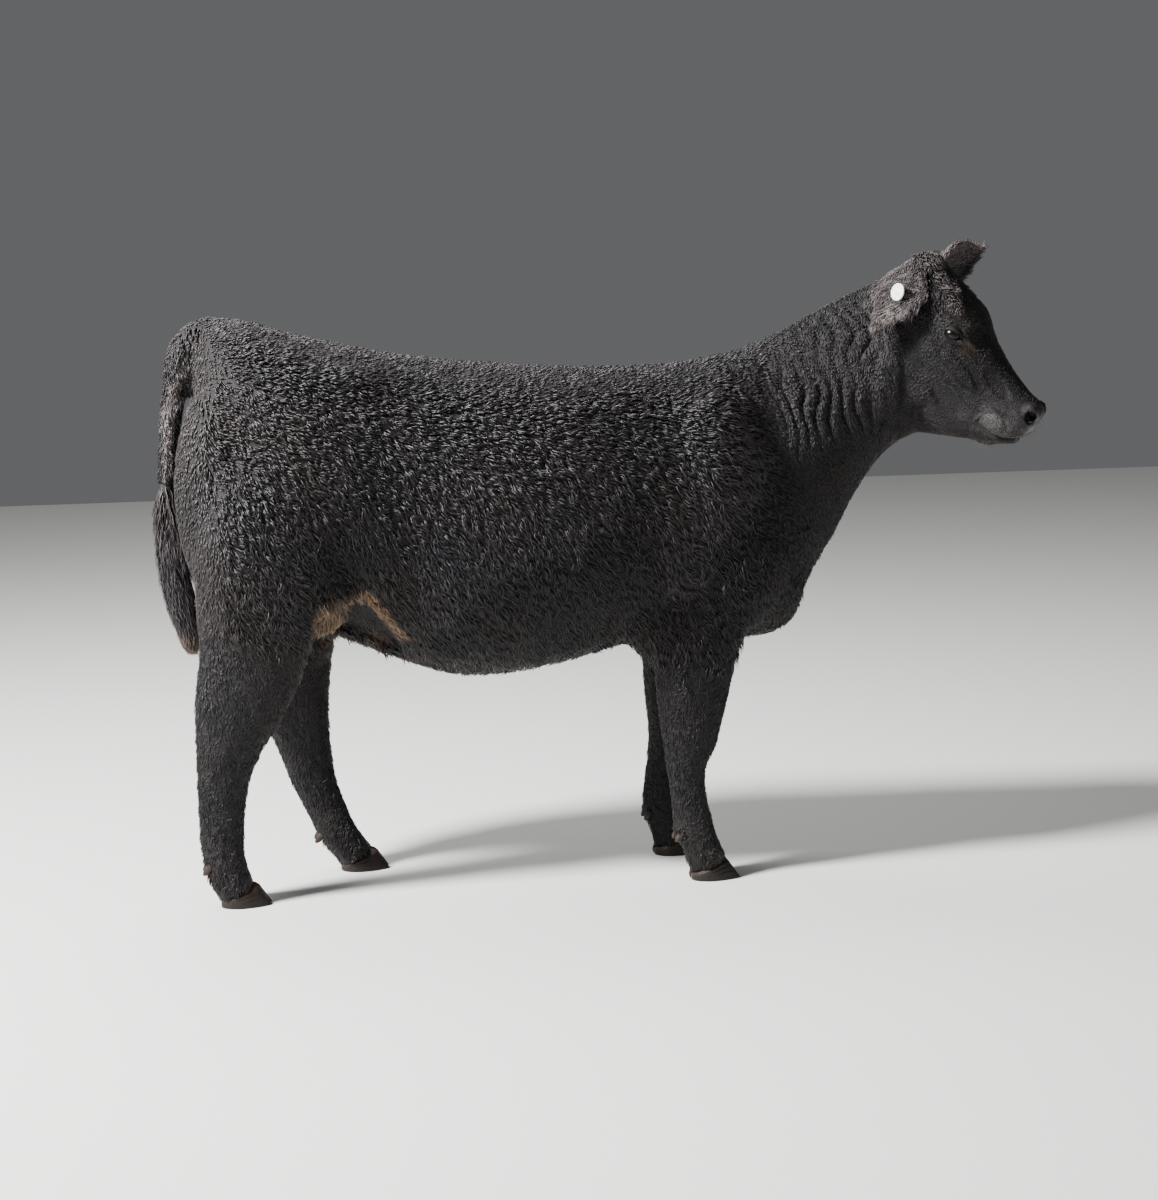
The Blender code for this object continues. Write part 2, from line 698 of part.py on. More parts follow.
def carve_nostril(skull, side, cutters):
    head_turn = head_matrix().to_3x3().to_4x4()
    turn = head_turn @ Matrix.Rotation(NOSTRIL_TURN, 4, "Z") @ Matrix.Rotation(side * NOSTRIL_SPLAY, 4, "Y")
    centre = place_in_head(mirror(NOSTRIL, side))
    boolean(skull, ball("cutter", centre, NOSTRIL_WING, cutters, turn, 20, 12), "UNION")
    outward = turn.to_3x3() @ mirror(NOSTRIL_OPENING_SHIFT, side)
    boolean(skull, ball("cutter", centre + outward, NOSTRIL_OPENING, cutters, turn, 16, 10), "DIFFERENCE")


def carve_mouth(skull, cutters):
    """A thin bowed plate across the muzzle, hollowed so that it cuts only the lips."""
    line = [Vector((*point, 0.0)) for point in MOUTH_LINE]
    across = Vector((0.0, 0.0, 1.0))
    side = across * MOUTH_PLATE_WIDTH / 2
    rings = []
    for i, point in enumerate(line):
        run = (line[min(i + 1, len(line) - 1)] - line[max(i - 1, 0)]).normalized()
        thick = run.cross(across) * MOUTH_GAP / 2
        corners = (point + thick - side, point + thick + side, point - thick + side, point - thick - side)
        rings.append([head_matrix() @ corner for corner in corners])
    plate = loft("cutter", rings, cutters)
    front, corner = line[1], line[-1]
    run = (front - corner).normalized()
    turn = Matrix((run, across, run.cross(across))).transposed().to_4x4()
    middle = head_matrix() @ ((front + corner) / 2 - run * MOUTH_DEPTH)
    core_radii = ((front - corner).length / 2, MOUTH_CORE_HALF_WIDTH, MOUTH_CORE_HALF_HEIGHT)
    core = ball("cutter", middle, core_radii, cutters, head_matrix().to_3x3().to_4x4() @ turn)
    boolean(plate, core, "DIFFERENCE")
    boolean(skull, plate, "DIFFERENCE")


def ear_form(side, home):
    """A leaf-shaped cup, closed toward its root."""
    root, tip, faces = (Vector(v) for v in EARS[side])
    axis = tip - root
    length = axis.length
    turn = aim(axis, faces)
    rings = []
    for i in range(EAR_STEPS + 1):
        s = i / EAR_STEPS
        swell = math.sin(math.pi * min(s / EAR_LEAF_END, 1.0)) ** EAR_LEAF_POWER
        leaf = EAR_ROOT_WIDTH + (1 - EAR_ROOT_WIDTH) * swell
        half = EAR_WIDTH / 2 * leaf * (1 - EAR_TIP_LOSS * s ** 5)
        cup = EAR_CUP * (1 - EAR_CUP_FADE * s)
        fill = EAR_CUP * EAR_FILL * max(0.0, 1 - s / EAR_FILL_TO) ** 1.5
        curl = EAR_CURL * math.sin(math.pi * s)
        outer, inner = [], []
        for k in range(EAR_ACROSS + 1):
            q = 2 * k / EAR_ACROSS - 1
            back = -cup * (1 - q * q) - curl
            thick = EAR_THICKNESS * (1 - EAR_EDGE_THINNER * q * q) * (1 - EAR_TIP_THINNER * s)
            thick += fill * (1 - q * q)
            outer.append(Vector((back, half * q, s * length)))
            inner.append(Vector((back + thick, half * q * EAR_INNER_WIDTH, s * length)))
        section = outer + inner[::-1]
        matrix = head_matrix() @ Matrix.Translation(root) @ turn
        rings.append([matrix @ point for point in section])
    return loft("ear_" + side, rings, home)


def swollen(obj, home):
    """A copy grown by the gap, for cutting another piece to its surface."""
    made = duplicate(obj, "cutter", home)
    bm = bmesh.new()
    bm.from_mesh(made.data)
    bm.normal_update()
    for vert in bm.verts:
        vert.co += vert.normal * GAP
    bm.to_mesh(made.data)
    bm.free()
    return made


def ear(body, side, homes):
    """An ear that ends on the surface of the head."""
    nodes, cutters = homes
    return tidy(boolean(ear_form(side, nodes), swollen(body, cutters), "DIFFERENCE"))


def tag_place():
    """Where the tag's button lies on the back of the right ear, Z running through it."""
    root, tip, faces = (Vector(v) for v in EARS["right"])
    half = EAR_WIDTH / 2
    cup = EAR_CUP * (1 - EAR_CUP_FADE * TAG_ALONG)
    back = -cup * (1 - TAG_ACROSS ** 2) - EAR_CURL * math.sin(math.pi * TAG_ALONG)
    spot = Vector((back, half * TAG_ACROSS, TAG_ALONG * (tip - root).length))
    spot = head_matrix() @ Matrix.Translation(root) @ aim(tip - root, faces) @ spot
    return Matrix.Translation(spot) @ head_matrix().to_3x3().to_4x4() @ aim(TAG_STUD_RUN, (0, 0, 1))


def tag(name, grow, home):
    """Button, stud and back disc of the tag, along the stud's line through the ear."""
    place = tag_place()
    ear_depth = EAR_THICKNESS * TAG_THROUGH
    away = TAG_STANDOFF + TAG_THICKNESS / 2
    discs = (
        (-away, TAG_RADIUS, TAG_THICKNESS, 24),
        (ear_depth / 2, STUD_RADIUS, ear_depth + 2 * away, 12),
        (ear_depth + away, TAG_BACK_RADIUS, TAG_THICKNESS * TAG_BACK_THINNER, 20),
    )
    made = None
    for middle, radius, depth, segments in discs:
        bm = bmesh.new()
        wide = radius + grow
        bmesh.ops.create_cone(
            bm, cap_ends=True, segments=segments, radius1=wide, radius2=wide, depth=depth + 2 * grow
        )
        bmesh.ops.transform(bm, matrix=place @ Matrix.Translation((0, 0, middle)), verts=bm.verts[:])
        disc = make_object(name, mesh_from_bmesh(name, bm), home)
        made = disc if made is None else boolean(made, disc, "UNION")
    made.name = name
    return made


def claw(name, heel, toe, y, outward, home):
    """One claw: a bowed wall by the cleft, a curved outer wall, and a flat sole."""
    rings = []
    for s in CLAW_LEVELS:
        reach = (toe - heel) * (1 - CLAW_TOP_SHORTER * s)
        width = CLAW_WIDTH * (1 - CLAW_TOP_NARROWER * s)
        points = []
        for i in range(CLAW_SIDES):
            angle = 2 * math.pi * i / CLAW_SIDES
            along = (1 - math.cos(angle)) / 2
            outer = max(math.sin(angle), 0.0) ** CLAW_ROUND * (1 - CLAW_DRAW * along ** 2)
            inner = CLAW_BOW * (1 + min(math.sin(angle), 0.0))
            out = width * (outer + inner + CLAW_TOE_TURN * along ** 2)
            x = heel + reach * along
            coronet = coronet_height(x, heel, toe) - GAP
            points.append((x, y + outward * (CLAW_CLEFT / 2 + out), coronet * s))
        rings.append(points)
    return loft(name, rings, home)


def coronet_height(x, heel, toe):
    front = toe - (toe - heel) * CLAW_TOP_SHORTER
    return CORONET_FRONT - (front - x) * math.tan(CORONET_SLOPE)


def dewclaw(name, x, y, z, grow, home):
    bm = bmesh.new()
    bmesh.ops.create_cone(
        bm, cap_ends=True, segments=10, radius1=DEWCLAW_RADIUS + grow,
        radius2=DEWCLAW_RADIUS * DEWCLAW_TAPER + grow, depth=DEWCLAW_LENGTH + 2 * grow,
    )
    turn = Matrix.Rotation(-math.pi / 2 - DEWCLAW_DROP, 4, "Y")
    bmesh.ops.transform(bm, matrix=Matrix.Translation((x, y, z)) @ turn, verts=bm.verts[:])
    return make_object(name, mesh_from_bmesh(name, bm), home)


def feet(legs, homes):
    """Trim each leg at its coronet and give it two claws and two dewclaws."""
    nodes, cutters = homes
    for name, (leg_object, side, stance, heel, dew_x, dew_z) in legs.items():
        toe = heel + CLAW_LENGTH
        middle = (heel + toe) / 2
        point = (middle, side * stance, coronet_height(middle, heel, toe))
        down = (math.sin(CORONET_SLOPE), 0.0, -math.cos(CORONET_SLOPE))
        boolean(leg_object, slab("cutter", point, down, CORONET_ROOM, cutters), "DIFFERENCE")
        for place, outward in (("outer", side), ("inner", -side)):
            claw(f"{name}_claw_{place}", heel, toe, side * stance, outward, nodes)
            y = side * stance + outward * DEWCLAW_SPREAD
            dewclaw(f"{name}_dewclaw_{place}", dew_x, y, dew_z, 0.0, nodes)
            boolean(leg_object, dewclaw("cutter", dew_x, y, dew_z, GAP, cutters), "DIFFERENCE")
        tidy(leg_object)


def part_leg(torso, name, point, normal, side, size, homes):
    """Cut one leg from the trunk below a plane, on its own side of the middle."""
    nodes, cutters = homes
    normal = Vector(normal)
    sideways = Vector((0.0, side * size[1] / 2, 0.0))
    piece = duplicate(torso, name, nodes)
    low = Vector(point) + sideways + normal * GAP / 2
    boolean(piece, slab("cutter", low, normal, size, cutters), "INTERSECT")
    high = Vector(point) + sideways - normal * GAP / 2
    boolean(torso, slab("cutter", high, normal, size, cutters), "DIFFERENCE")
    return tidy(piece)


def part_tail(torso, homes):
    """Cut the dock off with a sleeve that starts square across its root."""
    nodes, cutters = homes
    free = TAIL_DOCK[TAIL_CUT_STATION:]
    rows = [(x, z, deep + TAIL_SLEEVE, wide + TAIL_SLEEVE) for x, z, deep, wide in free]
    dock = duplicate(torso, "tail_dock", nodes)
    boolean(dock, tube("cutter", rows, cutters), "INTERSECT")
    boolean(torso, tube("cutter", rows, cutters, GAP), "DIFFERENCE")
    end = (TAIL_DOCK[-1][0], 0.0, SWITCH_TOP)
    boolean(dock, slab("cutter", end, (0, 0, -1), TAIL_END_ROOM, cutters), "DIFFERENCE")
    tidy(torso)
    return tidy(dock)


def switch_at(height):
    """Middle x and half thickness, front to back and side to side, of the switch."""
    table = np.array(SWITCH)[::-1]
    x, deep, wide = (np.interp(height, table[:, 1], table[:, k]) for k in (0, 2, 3))
    return x, deep / 2, wide / 2


def switch_core(home):
    rings = []
    for height, share in SWITCH_CORE:
        x, deep, wide = switch_at(height)
        back, front = (x - deep * share, 0, height - GAP), (x + deep * share, 0, height - GAP)
        rings.append(ring(back, front, 0.5, wide * share, (0, 1, 0), count=SWITCH_CORE_SIDES))
    return loft("tail_switch", rings, home)


def lock(top, length, width, angle, bend, home):
    """A flat, bent lock that leaves the core, follows the switch's outline and tapers."""
    rings = []
    for down, out, broad in LOCK_FORM:
        height = top - down * length
        x, deep, wide = switch_at(height)
        turn = angle + bend * down
        outward = np.array((math.cos(turn), math.sin(turn), 0.0))
        across = np.array((-math.sin(turn), math.cos(turn), 0.0))
        middle = np.array((x, 0.0, height)) + outward * (deep, wide, 0.0) * out
        side, thick = across * width / 2 * broad, outward * LOCK_THICKNESS / 2 * broad
        rings.append((middle + thick, middle + side, middle - thick, middle - side))
    made = loft("lock", rings, home)
    bm = bmesh.new()
    bm.from_mesh(made.data)
    bmesh.ops.triangulate(bm, faces=bm.faces[:])
    bm.to_mesh(made.data)
    bm.free()
    return made


def tail_switch(homes):
    """The switch: locks in tiers round a thin core, joined by one union."""
    nodes, _ = homes
    core = switch_core(nodes)
    locks = collection("locks")
    draw = random.Random(LOCK_SEED)
    first = SWITCH_TOP - 2 * GAP
    for tier in range(LOCK_TIERS):
        for place in range(LOCKS_ROUND):
            length = draw.uniform(*LOCK_LENGTH)
            last = SWITCH[-1][1] + length
            stray = draw.uniform(-LOCK_STRAY_DOWN, LOCK_STRAY_DOWN) * (0 < tier < LOCK_TIERS - 1)
            top = first + (last - first) * (tier + stray) / (LOCK_TIERS - 1)
            stray = draw.uniform(-LOCK_STRAY_ROUND, LOCK_STRAY_ROUND)
            angle = 2 * math.pi * (place + tier / 2 + stray) / LOCKS_ROUND
            lock(top, length, draw.uniform(*LOCK_WIDTH), angle, draw.uniform(-LOCK_SWAY, LOCK_SWAY), locks)
    join = core.modifiers.new("join", "BOOLEAN")
    join.operation = "UNION"
    join.operand_type = "COLLECTION"
    join.collection = locks
    bake(core)
    for obj in list(locks.objects):
        bpy.data.objects.remove(obj, do_unlink=True)
    bpy.data.collections.remove(locks)
    return tidy(core)


def material(name, colour, roughness):
    made = bpy.data.materials.new(name)
    made.use_nodes = True
    shader = made.node_tree.nodes["Principled BSDF"]
    shader.inputs["Base Color"].default_value = (*colour, 1.0)
    shader.inputs["Roughness"].default_value = roughness
    shader.inputs["Metallic"].default_value = 0.0
    return made


def finish(nodes):
    """Colour each piece, shade it smooth and move the whole onto its origin."""
    looks = (
        ("dewclaw", PALE_HORN, 0.6),
        ("claw", HORN, 0.5),
        ("eye", EYE_DARK, 0.08),
        ("tag", WHITE_PLASTIC, 0.4),
    )
    for obj in nodes.objects:
        colour, roughness = COAT, 0.75
        for key, tint, rough in looks:
            if key in obj.name:
                colour, roughness = tint, rough
                break
        obj.data.materials.clear()
        obj.data.materials.append(material(obj.name, colour, roughness))
        obj.data.transform(Matrix.Translation(TO_ORIGIN))
        obj.data.shade_smooth()
        obj.data.set_sharp_from_angle(angle=math.radians(50.0))


def build():
    clear_scene()
    nodes = collection("maine_anjou_heifer")
    cutters = collection("cutters")
    homes = (nodes, cutters)
    torso = flesh(nodes)
    ears = {side: ear(torso, side, homes) for side in EARS}
    whole_neck = part_by_plane(torso, "neck", *NECK_CUT, NECK_ROOM, homes)
    skull = part_by_plane(whole_neck, "head", *HEAD_CUT, HEAD_ROOM, homes)
    for side, label in ((1, "left"), (-1, "right")):
        ball("eye_" + label, eye_centre(side), (EYE_RADIUS,) * 3, nodes, eye_turn(side), 16, 10)
        carve_eye(skull, side, cutters)
        tidy(skull)
        carve_nostril(skull, side, cutters)
        tidy(skull)
    carve_mouth(skull, cutters)
    tidy(skull)
    boolean(ears["right"], tag("cutter", GAP, cutters), "DIFFERENCE")
    tag("ear_tag", 0.0, nodes)
    part_tail(torso, homes)
    tail_switch(homes)
    hind_normal = (-math.sin(HIND_CUT_TILT), 0.0, -math.cos(HIND_CUT_TILT))
    legs = {}
    for label, side, heel, dew_x, dew_z in HIND_FEET:
        point = (HIND_CUT_X, 0.0, HIND_CUT_HEIGHT)
        piece = part_leg(torso, "hindleg_" + label, point, hind_normal, side, HIND_SLAB, homes)
        legs["hind_" + label] = (piece, side, HIND_STANCE, heel, dew_x, dew_z)
    for label, side, heel, dew_x, dew_z in FORE_FEET:
        point = (FORE_CUT_X, 0.0, FORE_CUT_HEIGHT)
        piece = part_leg(torso, "foreleg_" + label, point, (0, 0, -1), side, FORE_SLAB, homes)
        legs["fore_" + label] = (piece, side, FORE_STANCE, heel, dew_x, dew_z)
    tidy(torso)
    feet(legs, homes)
    finish(nodes)


build()
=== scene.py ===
"""The looks of a young black Maine-Anjou heifer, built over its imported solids.

One skin is made from the solids of flesh, drawn in by the depth of the coat and
worked up with folds, lids and nostrils. The coat is solid tufts rooted in it.
"""

import math

import bmesh
import bpy
import numpy as np
from mathutils import Matrix, Vector
from mathutils.bvhtree import BVHTree


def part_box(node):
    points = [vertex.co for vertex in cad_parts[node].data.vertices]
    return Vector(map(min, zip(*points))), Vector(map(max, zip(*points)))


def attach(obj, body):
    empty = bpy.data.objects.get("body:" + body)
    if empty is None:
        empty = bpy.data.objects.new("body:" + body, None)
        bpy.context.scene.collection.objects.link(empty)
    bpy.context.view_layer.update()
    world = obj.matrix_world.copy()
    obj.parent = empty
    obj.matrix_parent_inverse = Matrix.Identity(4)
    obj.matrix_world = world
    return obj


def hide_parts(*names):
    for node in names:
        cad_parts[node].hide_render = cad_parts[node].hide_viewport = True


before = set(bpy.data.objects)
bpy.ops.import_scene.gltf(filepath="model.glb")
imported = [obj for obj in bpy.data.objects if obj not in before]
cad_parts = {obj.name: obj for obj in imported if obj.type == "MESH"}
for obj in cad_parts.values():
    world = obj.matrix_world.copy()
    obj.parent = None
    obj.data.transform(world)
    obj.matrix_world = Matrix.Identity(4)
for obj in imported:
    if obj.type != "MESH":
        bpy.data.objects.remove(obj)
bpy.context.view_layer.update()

RNG = np.random.default_rng(20)

# Where the solids' own measures lie in the frame
SHIFT = Vector((-0.003, 0.002, 0.0))
OFFSET = np.array(SHIFT)

# Camera: the photograph's viewing angle
LENS = 78.0
SENSOR = 36.0
LOOK_AT = Vector((-0.04, 0.0, 0.552)) + SHIFT
CAMERA_DISTANCE = 5.2
CAMERA_AZIMUTH = math.radians(-8.0)
CAMERA_ELEVATION = math.radians(7.4)
CAMERA_ROLL = math.radians(1.3)

# Lamps: place, the point that they face, width, and power in watts
LAMPS = {
    "key": ((-3.9, -1.55, 4.15), (-0.1, 0.0, 0.7), 1.1, 1700),
    "side": ((3.6, -3.4, 2.0), (0.3, 0.0, 0.7), 2.2, 14),
    "top": ((-0.8, 1.8, 3.6), (0.0, 0.0, 0.9), 2.2, 120),
}
WORLD_STRENGTH = 0.15
FLOOR_REACH = 9.0

# The head's own frame, as in the solids: along the face, square to it, to its left
POLL = Vector((0.660, -0.084, 1.232)) + SHIFT
HEAD_TURN = math.radians(28.0)
FACE_SLOPE = math.radians(53.7)
HEAD_CUT_POINT = np.array((0.618, -0.066, 1.030)) + OFFSET
HEAD_CUT_NORMAL = np.array((0.935, -0.340, -0.099))

FLESH = (
    "torso", "neck", "head", "ear_left", "ear_right", "tail_dock",
    "hindleg_left", "hindleg_right", "foreleg_left", "foreleg_right",
)
SKIN_GRID = 0.003
# Swelling that closes the thin cuts between the solids before they are fused
CLOSING = 0.0006
SKIN_TRIANGLES = 130000

# Depth of the coat over the skin, and how deep a tuft's root goes under it
DEPTH_BODY = 0.0090
DEPTH_NECK = 0.0055
DEPTH_HEAD = 0.0030
DEPTH_MUZZLE = 0.0004
DEPTH_LEG = 0.0065
DEPTH_FOOT = 0.0025
DEPTH_REAR = 0.0040
DEPTH_TAIL = 0.0050
DEPTH_EAR = 0.0004
DEPTH_ROOT = 0.0018
# Lowest place of a tuft's root and of its tip over the floor
LOWEST_ROOT = 0.012
LOWEST_TIP = 0.002

# Mouth and nostrils, in the head's frame, and the ears' roots, tips and open sides
MUZZLE_START = 0.29
MOUTH_LINE = (
    (0.4240, -0.0440), (0.4165, -0.0590), (0.4045, -0.0787), (0.3902, -0.0949),
    (0.3723, -0.1061), (0.3548, -0.1103), (0.3347, -0.1111),
)
PALE_LIP = ((0.363, -0.086), math.radians(29.0), (0.038, 0.0225))
NOSTRIL = (0.387, -0.023, 0.046)
EARS = {
    "ear_left": ((0.048, -0.032, 0.070), (0.044, 0.058, 0.184), (0.72, 0.54, -0.40)),
    "ear_right": ((0.044, -0.029, -0.056), (0.073, -0.149, -0.141), (0.533, -0.398, 0.746)),
}
EAR_WIDTH = 0.094

# Lower edge of the flank's fold of skin, as x and z, on each side
FLANK_FOLD = (
    (-0.575, 0.582), (-0.543, 0.592), (-0.515, 0.598), (-0.485, 0.608),
    (-0.472, 0.602), (-0.439, 0.561), (-0.407, 0.517), (-0.392, 0.480),
)

# Switch of the tail: middle x, height, thickness front to back and side to side
SWITCH = (
    (-0.8460, 0.830, 0.036, 0.040),
    (-0.8455, 0.790, 0.047, 0.048),
    (-0.8435, 0.740, 0.059, 0.058),
    (-0.8400, 0.680, 0.063, 0.062),
    (-0.8330, 0.615, 0.064, 0.060),
    (-0.8215, 0.550, 0.055, 0.052),
    (-0.8110, 0.500, 0.038, 0.038),
    (-0.8060, 0.470, 0.012, 0.014),
)
SWITCH_TOP = 0.805

# Lower edge of the sunlit part of the coat, as x and z: painted sunlight greys the tips above it and
# painted shade darkens the coat below it
SUNLIT_EDGE = (
    (-0.900, 0.250), (-0.760, 0.300), (-0.724, 0.340), (-0.644, 0.460), (-0.603, 0.575),
    (-0.541, 0.725), (-0.502, 0.800), (-0.455, 0.885), (-0.425, 0.870), (-0.405, 0.760),
    (-0.390, 0.640), (-0.370, 0.535), (-0.354, 0.520), (-0.261, 0.590), (-0.148, 0.640),
    (-0.031, 0.700), (0.060, 0.770), (0.085, 0.650), (0.120, 0.565), (0.178, 0.560),
    (0.200, 0.645), (0.249, 0.705), (0.305, 0.760), (0.400, 0.880), (0.520, 0.980),
)
# The pale strip down the tail's near side and the cream crease across it, as x and z
TAIL_STRIP = ((-0.799, 1.049), (-0.818, 1.005), (-0.839, 0.949), (-0.840, 0.889), (-0.843, 0.829))
TAIL_CREASE = ((-0.806, 0.980), (-0.828, 0.950), (-0.848, 0.925))

# The way the ear tag's stud runs through the ear, in the head's frame
TAG_STUD_RUN = (0.456, 0.319, 0.832)

# Claws: how much shorter one is at the coronet, how far that slopes, in radians
CLAW_TOP_SHORTER = 0.31
CORONET_SLOPE = math.radians(26.0)

# Eyes, in the head's frame
EYE_RADIUS = 0.0175
EYE_PLACE = (0.171, -0.046, 0.085)
EYE_GAZE = (0.25, 0.22, 1.0)
EYE_SLANT = (0.88, 0.47, 0.0)
EYE_ROWS = 40
EYE_COLUMNS = 64
# Half the angle that the lids leave open: to the corners, above and below
LID_CORNER = 1.06
LID_ABOVE = 0.50
LID_BELOW = 0.42
LID_OUTER = 1.22
LID_STEPS = 48
# Lids in section: share of the way out from their margin, and height over the eyeball
LID_FORM = (
    (-0.06, 0.0002), (0.0, 0.0016), (0.03, 0.0026), (0.12, 0.0034), (0.30, 0.0036),
    (0.42, 0.0026), (0.55, 0.0038), (0.75, 0.0040), (1.0, 0.0030), (1.25, -0.002),
)


def smoothstep(low, high, value):
    t = np.clip((value - low) / (high - low), 0.0, 1.0)
    return t * t * (3 - 2 * t)


def unit(vectors):
    return vectors / np.maximum(np.linalg.norm(vectors, axis=-1, keepdims=True), 1e-12)


def circle(steps):
    """Angles of evenly spaced points round a circle."""
    return np.arange(steps) * 2 * math.pi / steps


def sided(stem, side):
    return f"{stem}_left" if side > 0 else f"{stem}_right"


def waves(points, size, seed, count=7):
    """Smooth pseudo-random field between about -1 and 1, with waves of a given size."""
    draw = np.random.default_rng(seed)
    total = np.zeros(len(points))
    for _ in range(count):
        direction = unit(draw.normal(size=3)) * 2 * math.pi / (size * draw.uniform(0.7, 1.5))
        total += np.sin(points @ direction + draw.uniform(0, 2 * math.pi))
    return total / math.sqrt(count)


def head_matrix():
    ahead = Vector((math.cos(HEAD_TURN), -math.sin(HEAD_TURN), 0.0))
    up = Vector((0.0, 0.0, 1.0))
    along = ahead * math.cos(FACE_SLOPE) - up * math.sin(FACE_SLOPE)
    square = ahead * math.sin(FACE_SLOPE) + up * math.cos(FACE_SLOPE)
    left = Vector((math.sin(HEAD_TURN), math.cos(HEAD_TURN), 0.0))
    matrix = Matrix((along, square, left)).transposed().to_4x4()
    matrix.translation = POLL
    return matrix


HEAD = head_matrix()
HEAD_AXES = np.array(HEAD.to_3x3())
HEAD_ORIGIN = np.array(HEAD.translation)


def in_head(points):
    """Points in the head's frame: along the face, square to it, to the left."""
    return (points - HEAD_ORIGIN) @ HEAD_AXES


def in_half_head(points):
    """Points in the head's frame, with its right half mirrored onto the left."""
    face = in_head(points)
    face[:, 2] = np.abs(face[:, 2])
    return face


def from_head(points):
    return np.asarray(points) @ HEAD_AXES.T + HEAD_ORIGIN


def aim(direction, across):
    """Columns X nearest to across, Y, and Z along direction."""
    z = unit(np.asarray(direction, float))
    y = unit(np.cross(z, np.asarray(across, float)))
    x = np.cross(y, z)
    return np.stack([x, y, z], axis=1)


def make_mesh(name, points, faces, smooth=True):
    """Mesh object from arrays of points and of faces with one number of corners."""
    faces = np.asarray(faces)
    count, corners = faces.shape
    mesh = bpy.data.meshes.new(name)
    mesh.vertices.add(len(points))
    mesh.vertices.foreach_set("co", np.asarray(points, np.float32).ravel())
    mesh.loops.add(count * corners)
    mesh.loops.foreach_set("vertex_index", faces.astype(np.int32).ravel())
    mesh.polygons.add(count)
    mesh.polygons.foreach_set("loop_start", np.arange(0, count * corners, corners, dtype=np.int32))
    mesh.polygons.foreach_set("use_smooth", np.full(count, smooth))
    mesh.update(calc_edges=True)
    obj = bpy.data.objects.new(name, mesh)
    bpy.context.scene.collection.objects.link(obj)
    return obj


def grid_faces(rows, columns):
    """Quads over a grid of points in closed rows."""
    i, j = np.meshgrid(np.arange(rows - 1), np.arange(columns), indexing="ij")
    here, there = i * columns + j, i * columns + (j + 1) % columns
    return np.stack([here, there, there + columns, here + columns], -1).reshape(-1, 4)


def band(name, rows, flipped):
    """Mesh object over closed rows of points, with its faces turned over if flipped."""
    faces = grid_faces(len(rows), len(rows[0]))
    return make_mesh(name, np.concatenate(rows), faces[:, ::-1] if flipped else faces)


def shrunk(ring, share, lift=0.0):
    """A ring of points drawn in to a share of its size and lifted."""
    centre = ring.mean(axis=0)
    return centre + (ring - centre) * share + (0, 0, lift)


def attribute(obj, name, values):
    made = obj.data.attributes.new(name, "FLOAT", "POINT")
    made.data.foreach_set("value", np.asarray(values, np.float32))


def read_vectors(mesh, key):
    out = np.empty(len(mesh.vertices) * 3, np.float32)
    mesh.vertices.foreach_get(key, out)
    return out.reshape(-1, 3).astype(float)


def points_of(mesh):
    return read_vectors(mesh, "co")


def surface_of(mesh):
    """Points and normals of a mesh."""
    return points_of(mesh), read_vectors(mesh, "normal")


def triangles_of(mesh):
    mesh.calc_loop_triangles()
    out = np.empty(len(mesh.loop_triangles) * 3, np.int32)
    mesh.loop_triangles.foreach_get("vertices", out)
    return out.reshape(-1, 3)


def set_points(mesh, points):
    mesh.vertices.foreach_set("co", np.asarray(points, np.float32).ravel())
    mesh.update()


def modify(obj, kind, **settings):
    """Add a modifier with the given settings and apply it."""
    modifier = obj.modifiers.new(kind, kind)
    for key, value in settings.items():
        setattr(modifier, key, value)
    depsgraph = bpy.context.evaluated_depsgraph_get()
    old = obj.data
    obj.data = bpy.data.meshes.new_from_object(obj.evaluated_get(depsgraph))
    obj.modifiers.clear()
    bpy.data.meshes.remove(old)


def raise_by(obj, forms):
    """Move each point along its normal by the height that a function gives there."""
    points, normals = surface_of(obj.data)
    set_points(obj.data, points + normals * forms(points, normals)[:, None])


def weights(obj, name, values, levels=24):
    """Vertex group with the given weights, set in a few levels."""
    group = obj.vertex_groups.new(name=name)
    steps = np.round(np.asarray(values) * levels).astype(int)
    for step in np.unique(steps):
        group.add(np.nonzero(steps == step)[0].tolist(), step / levels, "REPLACE")


# Camera, light and floor


def place_camera():
    a, e, r = CAMERA_AZIMUTH, CAMERA_ELEVATION, CAMERA_ROLL
    back = Vector((math.sin(a) * math.cos(e), -math.cos(a) * math.cos(e), math.sin(e)))
    right = Vector((math.cos(a), math.sin(a), 0.0))
    up = back.cross(right)
    rolled_right = right * math.cos(r) - up * math.sin(r)
    rolled_up = right * math.sin(r) + up * math.cos(r)
    data = bpy.data.cameras.new("camera")
    data.lens = LENS
    data.sensor_width = SENSOR
    camera = bpy.data.objects.new("camera", data)
    matrix = Matrix((rolled_right, rolled_up, back)).transposed().to_4x4()
    matrix.translation = LOOK_AT + back * CAMERA_DISTANCE
    camera.matrix_world = matrix
    bpy.context.scene.collection.objects.link(camera)
    bpy.context.scene.camera = camera


def area_light(name, place, target, size, power):
    data = bpy.data.lights.new(name, "AREA")
    data.shape = "DISK"
    data.size = size
    data.energy = power
    light = bpy.data.objects.new(name, data)
    light.location = place
    aim_at = Vector(target) - Vector(place)
    light.rotation_euler = aim_at.to_track_quat("-Z", "Y").to_euler()
    bpy.context.scene.collection.objects.link(light)


def studio():
    world = bpy.data.worlds.new("studio")
    world.use_nodes = True
    background = world.node_tree.nodes["Background"]
    background.inputs["Color"].default_value = (0.86, 0.87, 0.89, 1.0)
    background.inputs["Strength"].default_value = WORLD_STRENGTH
    bpy.context.scene.world = world
    for name, lamp in LAMPS.items():
        area_light(name, *lamp)
    corners = FLOOR_REACH * np.array(((-1, -1, 0), (1, -1, 0), (1, 1, 0), (-1, 1, 0)), float)
    floor = make_mesh("floor", corners, [(0, 1, 2, 3)], smooth=False)
    made, _, _ = material("floor_paper", (0.56, 0.555, 0.54), 0.9)
    floor.data.materials.append(made)


# Materials


